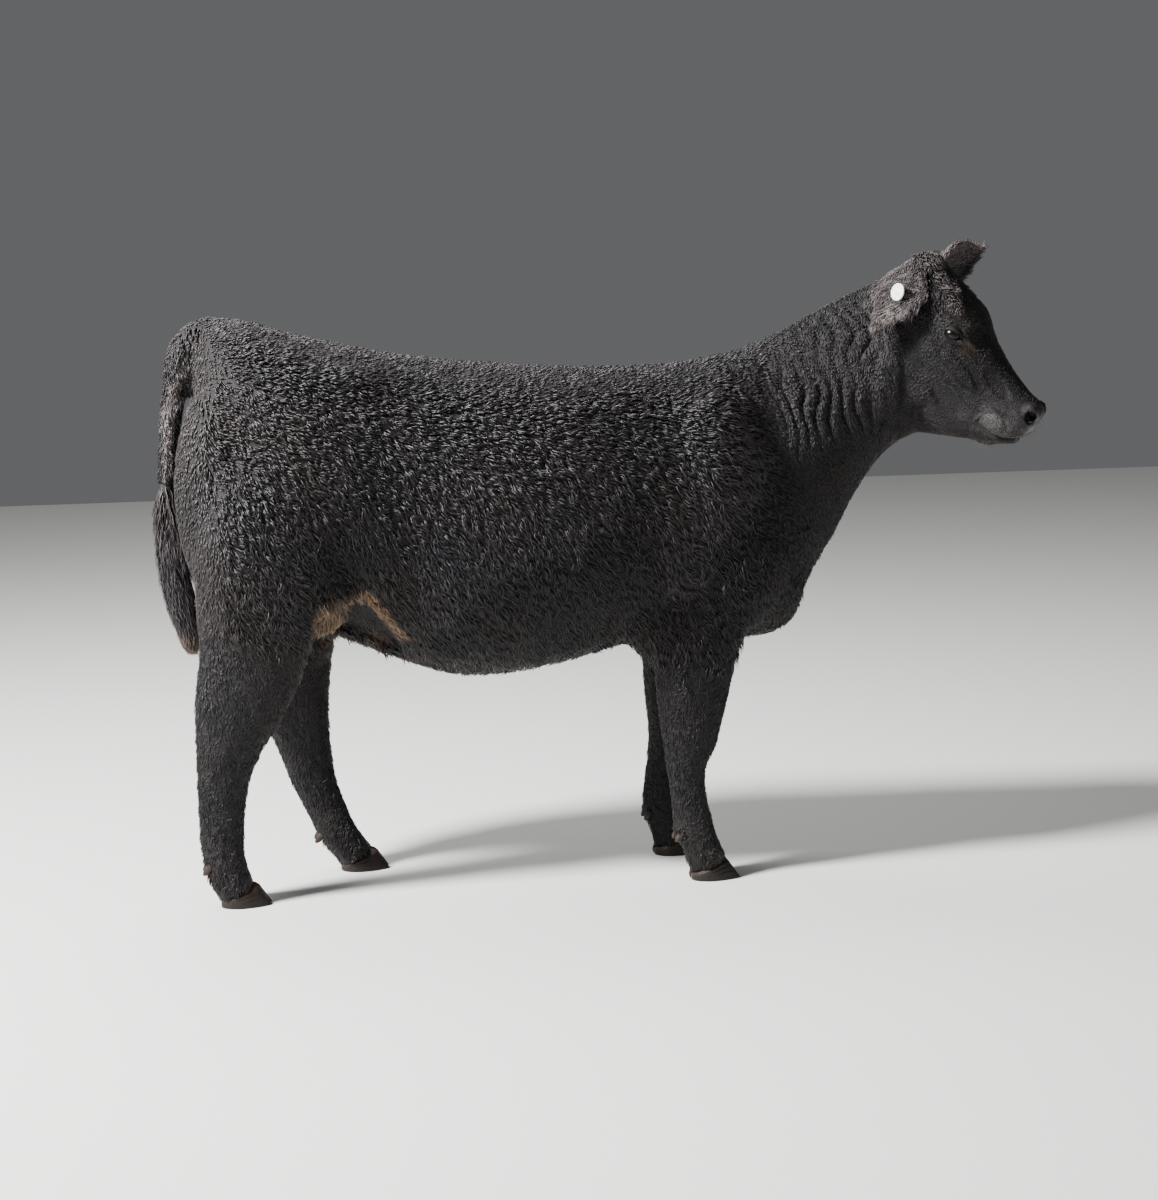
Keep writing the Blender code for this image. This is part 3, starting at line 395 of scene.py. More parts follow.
def connect(tree, node, **values):
    """Set a node's inputs, or link them where the value is another node's output."""
    for name, value in values.items():
        socket = node.inputs[name.replace("_", " ")]
        if isinstance(value, bpy.types.NodeSocket):
            tree.links.new(value, socket)
        else:
            socket.default_value = value


def add_node(tree, kind, **values):
    node = tree.nodes.new("ShaderNode" + kind)
    connect(tree, node, **values)
    return node


def material(name, colour, roughness, **sockets):
    made = bpy.data.materials.new(name)
    made.use_nodes = True
    shader = made.node_tree.nodes["Principled BSDF"]
    values = {"Base_Color": (*colour, 1.0), "Roughness": roughness, **sockets}
    connect(made.node_tree, shader, **values)
    return made, made.node_tree, shader


def object_space(tree, scale=(1.0, 1.0, 1.0)):
    place = add_node(tree, "TexCoord").outputs["Object"]
    return add_node(tree, "Mapping", Vector=place, Scale=scale).outputs["Vector"]


def value_of(tree, name):
    node = add_node(tree, "Attribute")
    node.attribute_name = name
    return node.outputs["Fac"]


def mix_colour(tree, share, one, two):
    """Colour between two, each a colour or an output, by a share that is an output."""
    node = tree.nodes.new("ShaderNodeMix")
    node.data_type = "RGBA"
    tree.links.new(share, node.inputs["Factor"])
    for socket, value in ((node.inputs[6], one), (node.inputs[7], two)):
        if isinstance(value, tuple):
            socket.default_value = (*value, 1.0)
        else:
            tree.links.new(value, socket)
    return node.outputs[2]


def spread(tree, value, low, high, to_low=0.0, to_high=1.0):
    ends = {"From_Min": low, "From_Max": high, "To_Min": to_low, "To_Max": to_high}
    return add_node(tree, "MapRange", Value=value, **ends).outputs["Result"]


def bump(tree, shader, height, distance, strength=1.0):
    node = add_node(tree, "Bump", Height=height, Distance=distance, Strength=strength)
    connect(tree, shader, Normal=node.outputs["Normal"])


def noise(tree, vector, scale, detail=4.0, rough=0.55):
    values = {"Vector": vector, "Scale": scale, "Detail": detail, "Roughness": rough}
    return add_node(tree, "TexNoise", **values).outputs["Fac"]


def coat_material():
    """Black hair with painted grey sunlight on its tips; tan and pale where the marks and the painted
    sunlight say so.
    """
    made, tree, shader = material("coat_hair", (0.012, 0.011, 0.011), 0.42, Specular_IOR_Level=0.34)
    patches = spread(tree, noise(tree, object_space(tree), 7.0), 0.35, 0.68)
    # The shade attribute: each tuft's own tone, with painted shade at its base and painted sunlight or
    # shade over the body
    shade = value_of(tree, "shade")
    black = mix_colour(tree, patches, (0.0022, 0.0021, 0.0028), (0.0068, 0.0048, 0.0046))
    # Painted sunlight: the grey of the lit tips
    painted_sunlight = mix_colour(tree, patches, (0.0330, 0.0315, 0.0375), (0.0470, 0.0370, 0.0380))
    tips = mix_colour(tree, shade, black, painted_sunlight)
    tan = mix_colour(tree, shade, (0.055, 0.029, 0.013), (0.32, 0.200, 0.112))
    pale = mix_colour(tree, shade, (0.060, 0.046, 0.045), (0.30, 0.25, 0.245))
    marked = mix_colour(tree, value_of(tree, "tan"), tips, tan)
    whole = mix_colour(tree, value_of(tree, "pale"), marked, pale)
    fibres = noise(tree, object_space(tree, (1.0, 1.0, 0.35)), 1400.0, 2.0)
    bump(tree, shader, fibres, 0.0004, 0.5)
    rough = spread(tree, fibres, 0.3, 0.7, 0.34, 0.50)
    connect(tree, shader, Base_Color=whole, Roughness=rough)
    return made


def skin_material():
    """Hide between the tufts: dark, tan or pale as marked, wet on the muzzle's pad, near black with
    painted shade where the deep attribute says.
    """
    made, tree, shader = material("hide", (0.02, 0.018, 0.018), 0.6, Specular_IOR_Level=0.22)
    space = object_space(tree)
    mottle = spread(tree, noise(tree, space, 90.0, 6.0), 0.32, 0.68)
    dark = mix_colour(tree, mottle, (0.0035, 0.0034, 0.004), (0.011, 0.0088, 0.0082))
    tan = mix_colour(tree, mottle, (0.11, 0.068, 0.040), (0.27, 0.185, 0.118))
    coloured = mix_colour(tree, value_of(tree, "tan"), dark, tan)
    stubble = spread(tree, noise(tree, space, 420.0, 3.0), 0.42, 0.60)
    pale = mix_colour(tree, stubble, (0.018, 0.018, 0.017), (0.135, 0.135, 0.122))
    lit = mix_colour(tree, value_of(tree, "pale"), coloured, pale)
    nose = mix_colour(tree, mottle, (0.006, 0.006, 0.007), (0.024, 0.021, 0.021))
    bare = mix_colour(tree, value_of(tree, "bare"), lit, nose)
    # Painted shade: near black where the deep attribute is high
    whole = mix_colour(tree, value_of(tree, "deep"), bare, (0.0012, 0.0010, 0.0011))
    wet = spread(tree, value_of(tree, "bare"), 0.0, 1.0, 0.66, 0.34)
    connect(tree, shader, Base_Color=whole, Roughness=wet)
    cells = add_node(tree, "TexVoronoi", Vector=space, Scale=420.0)
    fine = noise(tree, space, 900.0, 3.0)
    both = add_node(tree, "Math")
    both.operation = "ADD"
    tree.links.new(cells.outputs["Distance"], both.inputs[0])
    tree.links.new(fine, both.inputs[1])
    bump(tree, shader, both.outputs[0], 0.0009, 0.6)
    return made


def horn_material(name, low, high, top):
    """Horn with rings of growth and streaks, paler and browner near the coronet."""
    made, tree, shader = material(name, low, 0.5, Specular_IOR_Level=0.28)
    streaks = spread(tree, noise(tree, object_space(tree, (1.0, 1.0, 0.12)), 260.0, 5.0), 0.32, 0.7)
    rings = noise(tree, object_space(tree, (0.15, 0.15, 1.0)), 320.0, 3.0)
    body = mix_colour(tree, streaks, low, high)
    whole = mix_colour(tree, value_of(tree, "top"), body, top)
    rough = spread(tree, streaks, 0.0, 1.0, 0.42, 0.62)
    connect(tree, shader, Base_Color=whole, Roughness=rough)
    bump(tree, shader, rings, 0.0012, 0.55)
    return made


def eye_material():
    """Dark wet eye: brown iris round a wide pupil, with a thin rim of white."""
    made, tree, shader = material("eye_wet", (0.004, 0.003, 0.003), 0.20, Specular_IOR_Level=0.24)
    fibres = spread(tree, noise(tree, object_space(tree), 900.0, 3.0), 0.3, 0.7)
    iris = mix_colour(tree, fibres, (0.003, 0.002, 0.0015), (0.008, 0.0045, 0.003))
    ringed = mix_colour(tree, value_of(tree, "pupil"), iris, (0.002, 0.002, 0.003))
    whole = mix_colour(tree, value_of(tree, "white"), ringed, (0.012, 0.008, 0.007))
    connect(tree, shader, Base_Color=whole)
    return made


def tag_material():
    made, tree, shader = material("tag_plastic", (0.82, 0.82, 0.78), 0.38)
    grime = spread(tree, noise(tree, object_space(tree), 240.0, 5.0), 0.42, 0.75)
    whole = mix_colour(tree, grime, (0.84, 0.84, 0.80), (0.62, 0.58, 0.50))
    rough = spread(tree, grime, 0.0, 1.0, 0.34, 0.55)
    connect(tree, shader, Base_Color=whole, Roughness=rough)
    bump(tree, shader, noise(tree, object_space(tree), 700.0), 0.0002, 0.3)
    return made


# Markings, as functions of place, shared by skin and coat


def near(points, centre, radii):
    """1 at a centre and 0 beyond the radii of an ellipsoid round it."""
    away = np.linalg.norm((points - np.asarray(centre)) / np.asarray(radii), axis=1)
    return 1 - smoothstep(0.55, 1.0, away)


def blobs(points, wobble, rows):
    """Greatest of several soft ellipsoids, each a centre, its radii and a strength."""
    mark = np.zeros(len(points))
    for centre, radii, much in rows:
        mark = np.maximum(mark, much * near(points, centre, np.array(radii) * wobble[:, None]))
    return mark


def flank_drop(points):
    """How far a point lies below the edge of the flank's fold, and the fold's reach in x."""
    low = points - OFFSET
    x, z = np.array(FLANK_FOLD).T
    drop = np.interp(low[:, 0], x, z) - low[:, 2]
    reach = smoothstep(-0.590, -0.565, low[:, 0]) * (1 - smoothstep(-0.415, -0.392, low[:, 0]))
    return drop, reach * smoothstep(0.05, 0.09, np.abs(low[:, 1]))


def flank_hollow(points):
    """Share of the hollow behind the flank's fold, which gets painted shade and a thinned coat."""
    drop, reach = flank_drop(points)
    return reach * smoothstep(0.012, 0.03, drop) * (1 - smoothstep(0.10, 0.13, drop))


def to_line(points, line):
    """Distance in x and z from points to a line through given x and z."""
    low = (points - OFFSET)[:, (0, 2)]
    best = np.full(len(points), 9.0)
    for start, end in zip(np.array(line)[:-1], np.array(line)[1:]):
        run = end - start
        share = np.clip((low - start) @ run / (run @ run), 0, 1)
        best = np.minimum(best, np.linalg.norm(low - start - share[:, None] * run, axis=1))
    return best


def tan_mark(points):
    """Tan hair: along the flank's fold, in its hollow, under the belly, on the face; the stripe and arch
    along the fold's edge are partly painted sunlight on its rim.
    """
    wobble = 1 + 0.10 * waves(points, 0.03, 5)
    low = points - OFFSET
    flat = low * (1, 0, 1)
    drop, reach = flank_drop(points)
    side = smoothstep(0.06, 0.09, np.abs(low[:, 1])) * (np.abs(low[:, 1]) < 0.20)
    # Stripe and arch along the fold's edge: tan hair and painted sunlight on the fold's rim
    stripe = 1 - smoothstep(0.006, 0.012, to_line(points, FLANK_FOLD[3:7]) * wobble)
    arch = 1 - smoothstep(0.004, 0.010, to_line(points, FLANK_FOLD[1:4]) * wobble)
    hollow = smoothstep(0.006, 0.022, drop * wobble) * reach
    fold = np.maximum(np.maximum(0.80 * stripe, 0.62 * arch) * side, 0.05 * hollow)
    fold = fold * (low[:, 2] > 0.50)
    tuft = blobs(flat, wobble, [((-0.547, 0.0, 0.551), (0.041, 1.0, 0.054), 0.85)]) * side
    belly = blobs(flat, wobble, (
        ((-0.452, 0.0, 0.502), (0.030, 1.0, 0.022), 0.35),
        ((-0.370, 0.0, 0.462), (0.040, 1.0, 0.022), 0.14),
        ((-0.300, 0.0, 0.452), (0.050, 1.0, 0.022), 0.10),
    ))
    udder = blobs(low, wobble, [((-0.530, 0.0, 0.500), (0.060, 0.080, 0.060), 0.40)])
    face = blobs(in_half_head(points), wobble, (
        ((0.212, -0.038, 0.088), (0.024, 0.020, 0.030), 0.10),
        ((0.158, -0.014, 0.076), (0.034, 0.020, 0.030), 0.05),
        ((0.385, -0.125, 0.000), (0.045, 0.026, 0.060), 0.16),
    ))
    return np.clip(np.maximum.reduce([fold, tuft, belly, udder, face]), 0, 1)


def mouth_place(points):
    """Share of the way from the mouth's front to its corner, and distance below its line."""
    face = in_head(points)[:, :2]
    line = np.array(MOUTH_LINE)
    reach = np.linalg.norm(np.diff(line, axis=0), axis=1)
    begins = np.concatenate([[0.0], np.cumsum(reach)])
    distance, share, below = np.full(len(points), 9.0), np.zeros(len(points)), np.zeros(len(points))
    for start, end, begin, length in zip(line[:-1], line[1:], begins, reach):
        run = (end - start) / length
        t = np.clip((face - start) @ run, 0, length)
        away = face - start - t[:, None] * run
        size = np.linalg.norm(away, axis=1)
        closer = size < distance
        sign = np.where(away @ np.array((-run[1], run[0])) > 0, 1.0, -1.0)
        distance = np.where(closer, size, distance)
        share = np.where(closer, (begin + t) / begins[-1], share)
        below = np.where(closer, sign * size, below)
    return share, below


def pale_mark(points):
    """Pale skin: the upper lips, nostril rims, and a strip and a crease of the tail."""
    face = in_half_head(points)
    share, below = mouth_place(points)
    wobble = 1 + 0.13 * waves(points, 0.011, 6)
    centre, tilt, reach = PALE_LIP
    turn = np.array(((math.cos(tilt), -math.sin(tilt)), (math.sin(tilt), math.cos(tilt))))
    turned = (face[:, :2] - centre) @ turn
    inside = 1 - smoothstep(0.86, 1.04, np.linalg.norm(turned / reach, axis=1) * wobble)
    edge = np.exp(-((below + 0.0030) / 0.0016) ** 2) * smoothstep(0.15, 0.3, share)
    edge = edge * (1 - smoothstep(0.6, 0.75, share))
    side = (face[:, 2] > 0.02) * (face[:, 0] > MUZZLE_START)
    # The lips' pale patch: pale grey lip hair, partly painted sunlight
    lip = np.maximum(0.32 * inside * (below < 0.0), 0.5 * edge) * side
    ring = near(face, np.array(NOSTRIL) + (0.003, 0, 0), (0.025, 0.025, 0.030))
    front = smoothstep(-0.004, 0.014, face[:, 0] - NOSTRIL[0])
    rim = (0.04 + 0.42 * front) * ring
    strip = 0.75 * (1 - smoothstep(0.006, 0.012, to_line(points, TAIL_STRIP) * wobble))
    crease = 1 - smoothstep(0.003, 0.007, to_line(points, TAIL_CREASE) * wobble)
    near_side = smoothstep(0.002, -0.008, points[:, 1]) * (points[:, 1] > -0.06)
    tail = np.maximum(strip, crease) * near_side
    return np.clip(np.maximum.reduce([lip, rim, tail]), 0, 1)


def painted_sun_mark(points):
    """How much painted sunlight greys the tips, and where it is low, painted shade: most light over the
    back, ribs, rump and shoulder.
    """
    low = points - OFFSET
    x, z = np.array(SUNLIT_EDGE).T
    above = low[:, 2] - np.interp(low[:, 0], x, z) + 0.016 * waves(points, 0.08, 41)
    return smoothstep(-0.035, 0.055, above)


def painted_crown_light(points):
    """Painted sunlight on the hair of the near side's poll, brow and cheek."""
    wobble = 1 + 0.14 * waves(points, 0.02, 37)
    return blobs(in_head(points), wobble, (
        ((0.012, -0.078, -0.060), (0.052, 0.098, 0.044), 0.48),
        ((0.008, -0.012, -0.026), (0.046, 0.044, 0.046), 0.58),
        ((0.076, 0.000, -0.060), (0.052, 0.024, 0.032), 0.34),
        ((0.126, -0.004, -0.092), (0.032, 0.020, 0.020), 0.42),
        ((0.212, -0.150, -0.080), (0.042, 0.040, 0.030), 0.10),
        ((0.208, -0.031, -0.083), (0.014, 0.014, 0.014), 0.10),
    ))


def bare_mark(points):
    """Hairless muzzle pad between and around the nostrils."""
    face = in_head(points)
    pad = smoothstep(0.372, 0.390, face[:, 0] - 0.25 * np.clip(face[:, 1] + 0.02, -1, 0))
    return pad * (1 - smoothstep(-0.045, -0.095, face[:, 1]))


def painted_shade_mark(points):
    """Painted shade inside the nostrils, along the closed mouth and in the hollow behind the flank's
    fold.
    """
    face = in_half_head(points)
    share, below = mouth_place(points)
    corner = 1 - smoothstep(0.55, 0.95, share)
    mouth = 0.9 * corner * np.exp(-(below / 0.0020) ** 2) * (face[:, 0] > MUZZLE_START)
    nostril = near(face, NOSTRIL, (0.0145, 0.0120, 0.02))
    return np.clip(np.maximum.reduce([mouth, nostril, 0.8 * flank_hollow(points)]), 0, 1)


# Skin


def coat_depth(points, labels):
    """How far the skin lies inside the tips of the coat."""
    to_head = (points - HEAD_CUT_POINT) @ HEAD_CUT_NORMAL
    depth = np.full(len(points), DEPTH_BODY)
    for low, high, value, deep in (
        (0.30, 0.46, points[:, 0], DEPTH_NECK),
        (-0.04, 0.05, to_head, DEPTH_HEAD),
        (0.29, 0.35, np.where(to_head > 0, in_head(points)[:, 0], 0), DEPTH_MUZZLE),
        (-0.50, -0.40, -points[:, 2], DEPTH_LEG),
        (-0.11, -0.05, -points[:, 2], DEPTH_FOOT),
    ):
        share = smoothstep(low, high, value)
        depth = depth * (1 - share) + deep * share
    rear = smoothstep(-0.700, -0.755, points[:, 0]) * smoothstep(0.50, 0.58, points[:, 2])
    depth = depth * (1 - rear) + DEPTH_REAR * rear
    depth = np.where(labels == "tail_dock", DEPTH_TAIL, depth)
    return np.where(np.isin(labels, list(EARS)), DEPTH_EAR, depth)


def flesh_surface():
    """All flesh nodes as one cloud of closed surfaces, swollen until their cuts close."""
    bm = bmesh.new()
    for name in FLESH:
        bm.from_mesh(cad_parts[name].data)
    bmesh.ops.remove_doubles(bm, verts=bm.verts[:], dist=1e-6)
    for side in (1, -1):
        bm.from_mesh(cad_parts[sided("eye", side)].data)
    bm.normal_update()
    for vert in bm.verts:
        vert.co += vert.normal * CLOSING
    mesh = bpy.data.meshes.new("skin")
    bm.to_mesh(mesh)
    bm.free()
    obj = bpy.data.objects.new("skin", mesh)
    bpy.context.scene.collection.objects.link(obj)
    return obj


def labeller():
    """Function that names the flesh node nearest to each of many points."""
    points, faces, owner = [], [], []
    count = 0
    for name in FLESH:
        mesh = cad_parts[name].data
        points += [v.co for v in mesh.vertices]
        triangles = triangles_of(mesh) + count
        faces += triangles.tolist()
        owner += [name] * len(triangles)
        count += len(mesh.vertices)
    tree = BVHTree.FromPolygons(points, faces)
    owner = np.array(owner)

    def label(places):
        found = [tree.find_nearest(place)[2] for place in places.tolist()]
        return owner[np.array(found)]

    return label


def eye_place(side):
    """Middle of an eye, and the columns of its frame with the gaze as the third."""
    centre = from_head(np.array(EYE_PLACE) * (1, 1, side))
    turn = HEAD_AXES @ aim(np.array(EYE_GAZE) * (1, 1, side), EYE_SLANT)
    return centre, turn


def round_eye(points, side):
    """Places in an eye's frame, their distance from its middle and angle from its gaze."""
    centre, turn = eye_place(side)
    local = (points - centre) @ turn
    distance = np.linalg.norm(local, axis=1)
    angle = np.arccos(np.clip(local[:, 2] / np.maximum(distance, 1e-9), -1, 1))
    return local, distance, angle


def sink_eyes(points, radius=EYE_RADIUS):
    """Draw the skin in behind each eyeball, where the lids take its place."""
    for side in (-1, 1):
        local, distance, angle = round_eye(points, side)
        share = (1 - smoothstep(0.95, 1.25, angle)) * (distance < radius + 0.02)
        target = np.minimum(distance, radius - 0.0025)
        inward = unit(local) * (target - distance)[:, None] * share[:, None]
        points = points + inward @ eye_place(side)[1].T
    return points


def fold_strength(points, normals):
    """How strong the neck's folds are at a place, and how near it is to a groove's floor."""
    low = points - OFFSET
    lean = low[:, 0] + 0.12 * (low[:, 2] - 1.0)
    zone = smoothstep(0.30, 0.38, lean) * (1 - smoothstep(0.545, 0.585, lean))
    upright = smoothstep(0.80, 0.90, low[:, 2])
    sideways = smoothstep(0.30, 0.70, np.abs(normals[:, 1]))
    deep = 0.65 + 0.35 * np.clip(waves(points, 0.12, 9), -1, 1)
    drift = 0.008 * waves(points, 0.09, 8)
    grooves = 1 - np.abs(np.sin((lean + drift) * math.pi / 0.026)) ** 0.6
    return zone * upright * sideways * deep, grooves


def neck_folds(points, normals):
    """Rolls of skin that run down the neck behind the jaw and fade toward the shoulder."""
    strength, grooves = fold_strength(points, normals)
    roll = near(points, (0.560, -0.115, 0.985), (0.030, 0.07, 0.10))
    roll += near(points, (0.590, 0.02, 0.985), (0.030, 0.07, 0.10))
    return -0.0110 * strength * (grooves - 0.12) + 0.008 * roll


def face_forms(points, normals):
    """Cheek, brow, bridge and lip forms of the face, as heights over the skin."""
    mirrored = in_half_head(points)
    rise = np.zeros(len(points))
    for centre, radii, height in (
        ((0.205, -0.215, 0.050), (0.045, 0.045, 0.05), 0.0050),
        ((0.150, -0.150, 0.080), (0.050, 0.040, 0.05), 0.0040),
        ((0.235, -0.080, 0.080), (0.060, 0.016, 0.05), 0.0050),
        ((0.125, -0.018, 0.072), (0.040, 0.020, 0.04), 0.0045),
        ((0.262, -0.130, 0.070), (0.060, 0.030, 0.05), -0.0050),
        ((0.205, -0.012, 0.062), (0.035, 0.020, 0.04), -0.0040),
        ((0.300, -0.040, 0.055), (0.050, 0.016, 0.04), -0.0030),
        ((0.350, -0.085, 0.055), (0.038, 0.022, 0.03), 0.0040),
        ((0.362, -0.128, 0.030), (0.036, 0.020, 0.04), 0.0025),
        (NOSTRIL, (0.012, 0.0095, 0.020), -0.0070),
    ):
        rise += height * near(mirrored, centre, radii)
    rise -= 0.0016 * near(mirrored, (0.395, -0.045, 0.0), (0.030, 0.045, 0.006))
    eye = np.linalg.norm(mirrored[:, :2] - EYE_PLACE[:2], axis=1)
    behind = near(mirrored, (0.148, -0.062, 0.090), (0.046, 0.040, 0.04))
    behind = behind * smoothstep(0.020, 0.026, eye)
    ripple = eye + 0.0035 * waves(points, 0.02, 38)
    return rise + 0.0007 * behind * np.sin(ripple * 2 * math.pi / 0.0085)


def flank_form(points, normals):
    """Rounded edge of the flank's fold, as a height over the skin."""
    drop, reach = flank_drop(points)
    return 0.005 * reach * np.exp(-(drop / 0.012) ** 2)


def sink_flank(points):
    """Hollow behind the flank's fold, where the skin draws in toward the udder."""
    drop, reach = flank_drop(points)
    share = reach * smoothstep(0.002, 0.040, drop) * (1 - smoothstep(0.12, 0.17, drop))
    moved = points.copy()
    moved[:, 1] -= np.sign(points[:, 1]) * 0.034 * share
    moved[:, 2] += 0.006 * share
    return moved


def mouth_line(points, normals):
    """Groove of the closed mouth from the front of the muzzle to its corner, and its lips."""
    share, below = mouth_place(points)
    muzzle = in_head(points)[:, 0] > MUZZLE_START
    depth = 0.0050 * (1 - smoothstep(0.55, 0.95, share)) * np.exp(-(below / 0.0021) ** 2)
    lips = 0.0020 * np.exp(-((np.abs(below) - 0.0065) / 0.004) ** 2)
    return (lips - depth) * muzzle


def refine(obj, mask):
    """Split the faces whose corners are all in the mask."""
    bm = bmesh.new()
    bm.from_mesh(obj.data)
    bm.verts.ensure_lookup_table()
    edges = [e for e in bm.edges if mask[e.verts[0].index] and mask[e.verts[1].index]]
    bmesh.ops.subdivide_edges(bm, edges=edges, cuts=1, use_grid_fill=True, smooth=0.0)
    bmesh.ops.triangulate(bm, faces=bm.faces[:])
    bm.to_mesh(obj.data)
    bm.free()


MARKS = {"tan": tan_mark, "pale": pale_mark, "bare": bare_mark, "deep": painted_shade_mark}


def make_skin():
    """One skin over all the flesh, with its forms, its marks and hollows for the eyes."""
    obj = flesh_surface()
    modify(obj, "REMESH", mode="VOXEL", voxel_size=SKIN_GRID)
    label = labeller()
    points = points_of(obj.data)
    labels = label(points)
    depth = coat_depth(points, labels)[:, None]
    face = in_head(points)
    muzzle = (face[:, 0] > 0.30) & (face[:, 1] > -0.2)
    weights(obj, "calm", np.where(np.isin(labels, list(EARS)) | muzzle, 0.25, 1.0))
    modify(obj, "SMOOTH", factor=0.5, iterations=8, vertex_group="calm")
    points, normals = surface_of(obj.data)
    set_points(obj.data, sink_flank(points - normals * depth))
    for forms in (neck_folds, face_forms, flank_form):
        raise_by(obj, forms)
    points = points_of(obj.data)
    fine = smoothstep(-0.02, 0.02, (points - HEAD_CUT_POINT) @ HEAD_CUT_NORMAL)
    folded = smoothstep(0.30, 0.42, points[:, 0])
    weights(obj, "thin_out", 1 - np.maximum(0.93 * fine, 0.55 * folded))
    ratio = SKIN_TRIANGLES / (2 * len(obj.data.polygons))
    modify(obj, "DECIMATE", ratio=ratio, vertex_group="thin_out", vertex_group_factor=0.02)
    face = in_head(points_of(obj.data))
    refine(obj, (face[:, 0] > 0.315) & (face[:, 1] > -0.16) & (face[:, 1] < 0.01))
    raise_by(obj, mouth_line)
    set_points(obj.data, sink_eyes(points_of(obj.data)))
    points = points_of(obj.data)
    for name, mark in MARKS.items():
        attribute(obj, name, mark(points))
    obj.data.polygons.foreach_set("use_smooth", np.full(len(obj.data.polygons), True))
    obj.data.materials.clear()
    obj.data.materials.append(skin_material())
    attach(obj, "root")
    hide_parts(*FLESH)
    return obj, label


# Eyes and lids


def lid_way(ax, ay, angle):
    """Ways from an eye's middle, at angles from its gaze and round it as ax and ay say."""
    margin = np.hypot(ax, ay)
    out = np.sin(angle)
    return np.column_stack([out * ax / margin, out * ay / margin, np.cos(angle)])


def lids(side, hide):
    """Both lids as one band round the opening, hugging the eyeball, with a soft crease."""
    centre, turn = eye_place(side)
    phi = circle(LID_STEPS)
    ax = LID_CORNER * np.cos(phi)
    ay = np.where(np.sin(phi) > 0, LID_ABOVE, LID_BELOW) * np.sin(phi)
    margin = np.hypot(ax, ay)
    crease = np.where(np.sin(phi) > 0.1, 1.0, 0.6)
    rows = []
    for share, rise in LID_FORM:
        angle = margin + (LID_OUTER - margin) * share
        radius = EYE_RADIUS + rise * (crease if share > 0.35 else crease ** 0)
        rows.append(centre + (lid_way(ax, ay, angle) * radius[:, None]) @ turn.T)
    obj = band(sided("lids", side), rows, side > 0)
    # The lids get some painted shade through the deep attribute
    for mark, value in (("tan", 0.0), ("pale", 0.0), ("bare", 0.10), ("deep", 0.35)):
        attribute(obj, mark, np.full(len(obj.data.vertices), value))
    obj.data.materials.append(hide)
    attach(obj, "root")


def eyeball(side, wet):
    """Eyeball with a slightly raised cornea, wide pupil and thin rim of white."""
    centre, turn = eye_place(side)
    angle = np.linspace(0.0, math.pi, EYE_ROWS)[:, None]
    around = circle(EYE_COLUMNS)[None, :]
    radius = EYE_RADIUS * (1 + 0.03 * np.exp(-(angle / 0.62) ** 4)) - 0.0004
    across = radius * np.sin(angle)
    shape = np.broadcast_arrays(across * np.cos(around), across * np.sin(around), radius * np.cos(angle))
    obj = band(sided("eyeball", side), centre + np.stack(shape, -1) @ turn.T, True)
    bm = bmesh.new()
    bm.from_mesh(obj.data)
    bmesh.ops.remove_doubles(bm, verts=bm.verts[:], dist=1e-6)
    bmesh.ops.recalc_face_normals(bm, faces=bm.faces[:])
    bm.to_mesh(obj.data)
    bm.free()
    local = (points_of(obj.data) - centre) @ turn / EYE_RADIUS
    ringed = np.hypot(local[:, 0] / 0.42, local[:, 1] / 0.22) + (local[:, 2] < 0) * 9
    attribute(obj, "pupil", 1 - smoothstep(0.85, 1.0, ringed))
    attribute(obj, "white", smoothstep(0.80, 0.86, np.hypot(local[:, 0], local[:, 1])))
    obj.data.materials.append(wet)
    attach(obj, "root")
    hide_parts(sided("eye", side))


# Coat

# Size of each tuft's patch on the unwrap, and the most tufts in one piece
PATCH = 0.003
MOST_TUFTS = 21500


def strands(name, paths, outs, half_widths, half_depths, attributes, patch, hair):
    """Closed tapered locks: each follows a path of points, three-sided up to its tip.

    paths and outs are (count, rings, 3), half_widths and half_depths (count, rings),
    attributes values (count, rings), patch the (count, 2) place of each root on the unwrap.
    """
    count, rings, _ = paths.shape
    along = np.gradient(paths, axis=1)
    side = unit(np.cross(outs, along))
    up = unit(np.cross(along, side))
    wide, deep = half_widths[..., None], half_depths[..., None]
    ring = np.stack([paths + side * wide, paths + up * deep, paths - side * wide], axis=2)
    body = ring[:, :-1].reshape(count, (rings - 1) * 3, 3)
    points = np.concatenate([body, paths[:, -1:]], axis=1)
    size = points.shape[1]
    faces = []
    for row in range(rings - 2):
        for k in range(3):
            a, b = row * 3 + k, row * 3 + (k + 1) % 3
            faces += [(a, b, b + 3), (a, b + 3, a + 3)]
    last = (rings - 2) * 3
    faces += [(last + k, last + (k + 1) % 3, size - 1) for k in range(3)]
    faces = np.array(faces)
    whole = (faces[None] + (np.arange(count) * size)[:, None, None]).reshape(-1, 3)
    obj = make_mesh(name, points.reshape(-1, 3), whole)
    for key, values in attributes.items():
        grown = np.concatenate([np.repeat(values[:, :-1], 3, axis=1), values[:, -1:]], axis=1)
        attribute(obj, key, grown.ravel())
    level = np.repeat(np.arange(rings - 1) / (rings - 1), 3)
    corner = np.column_stack([np.tile((0.0, 0.5, 1.0), rings - 1), level])
    corner = np.concatenate([corner, [(0.5, 1.0)]]) * PATCH
    uv = (patch[:, None, :] + corner[None]).reshape(-1, 2)
    layer = obj.data.uv_layers.new(name="OFBake")
    layer.data.foreach_set("uv", uv[whole.ravel()].astype(np.float32).ravel())
    obj.data.materials.append(hair)
    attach(obj, "root")
    return obj


def stretched(values):
    """Values spread over the unit interval, with a small margin."""
    return 0.004 + 0.988 * (values - values.min()) / max(np.ptp(values), 1e-6)


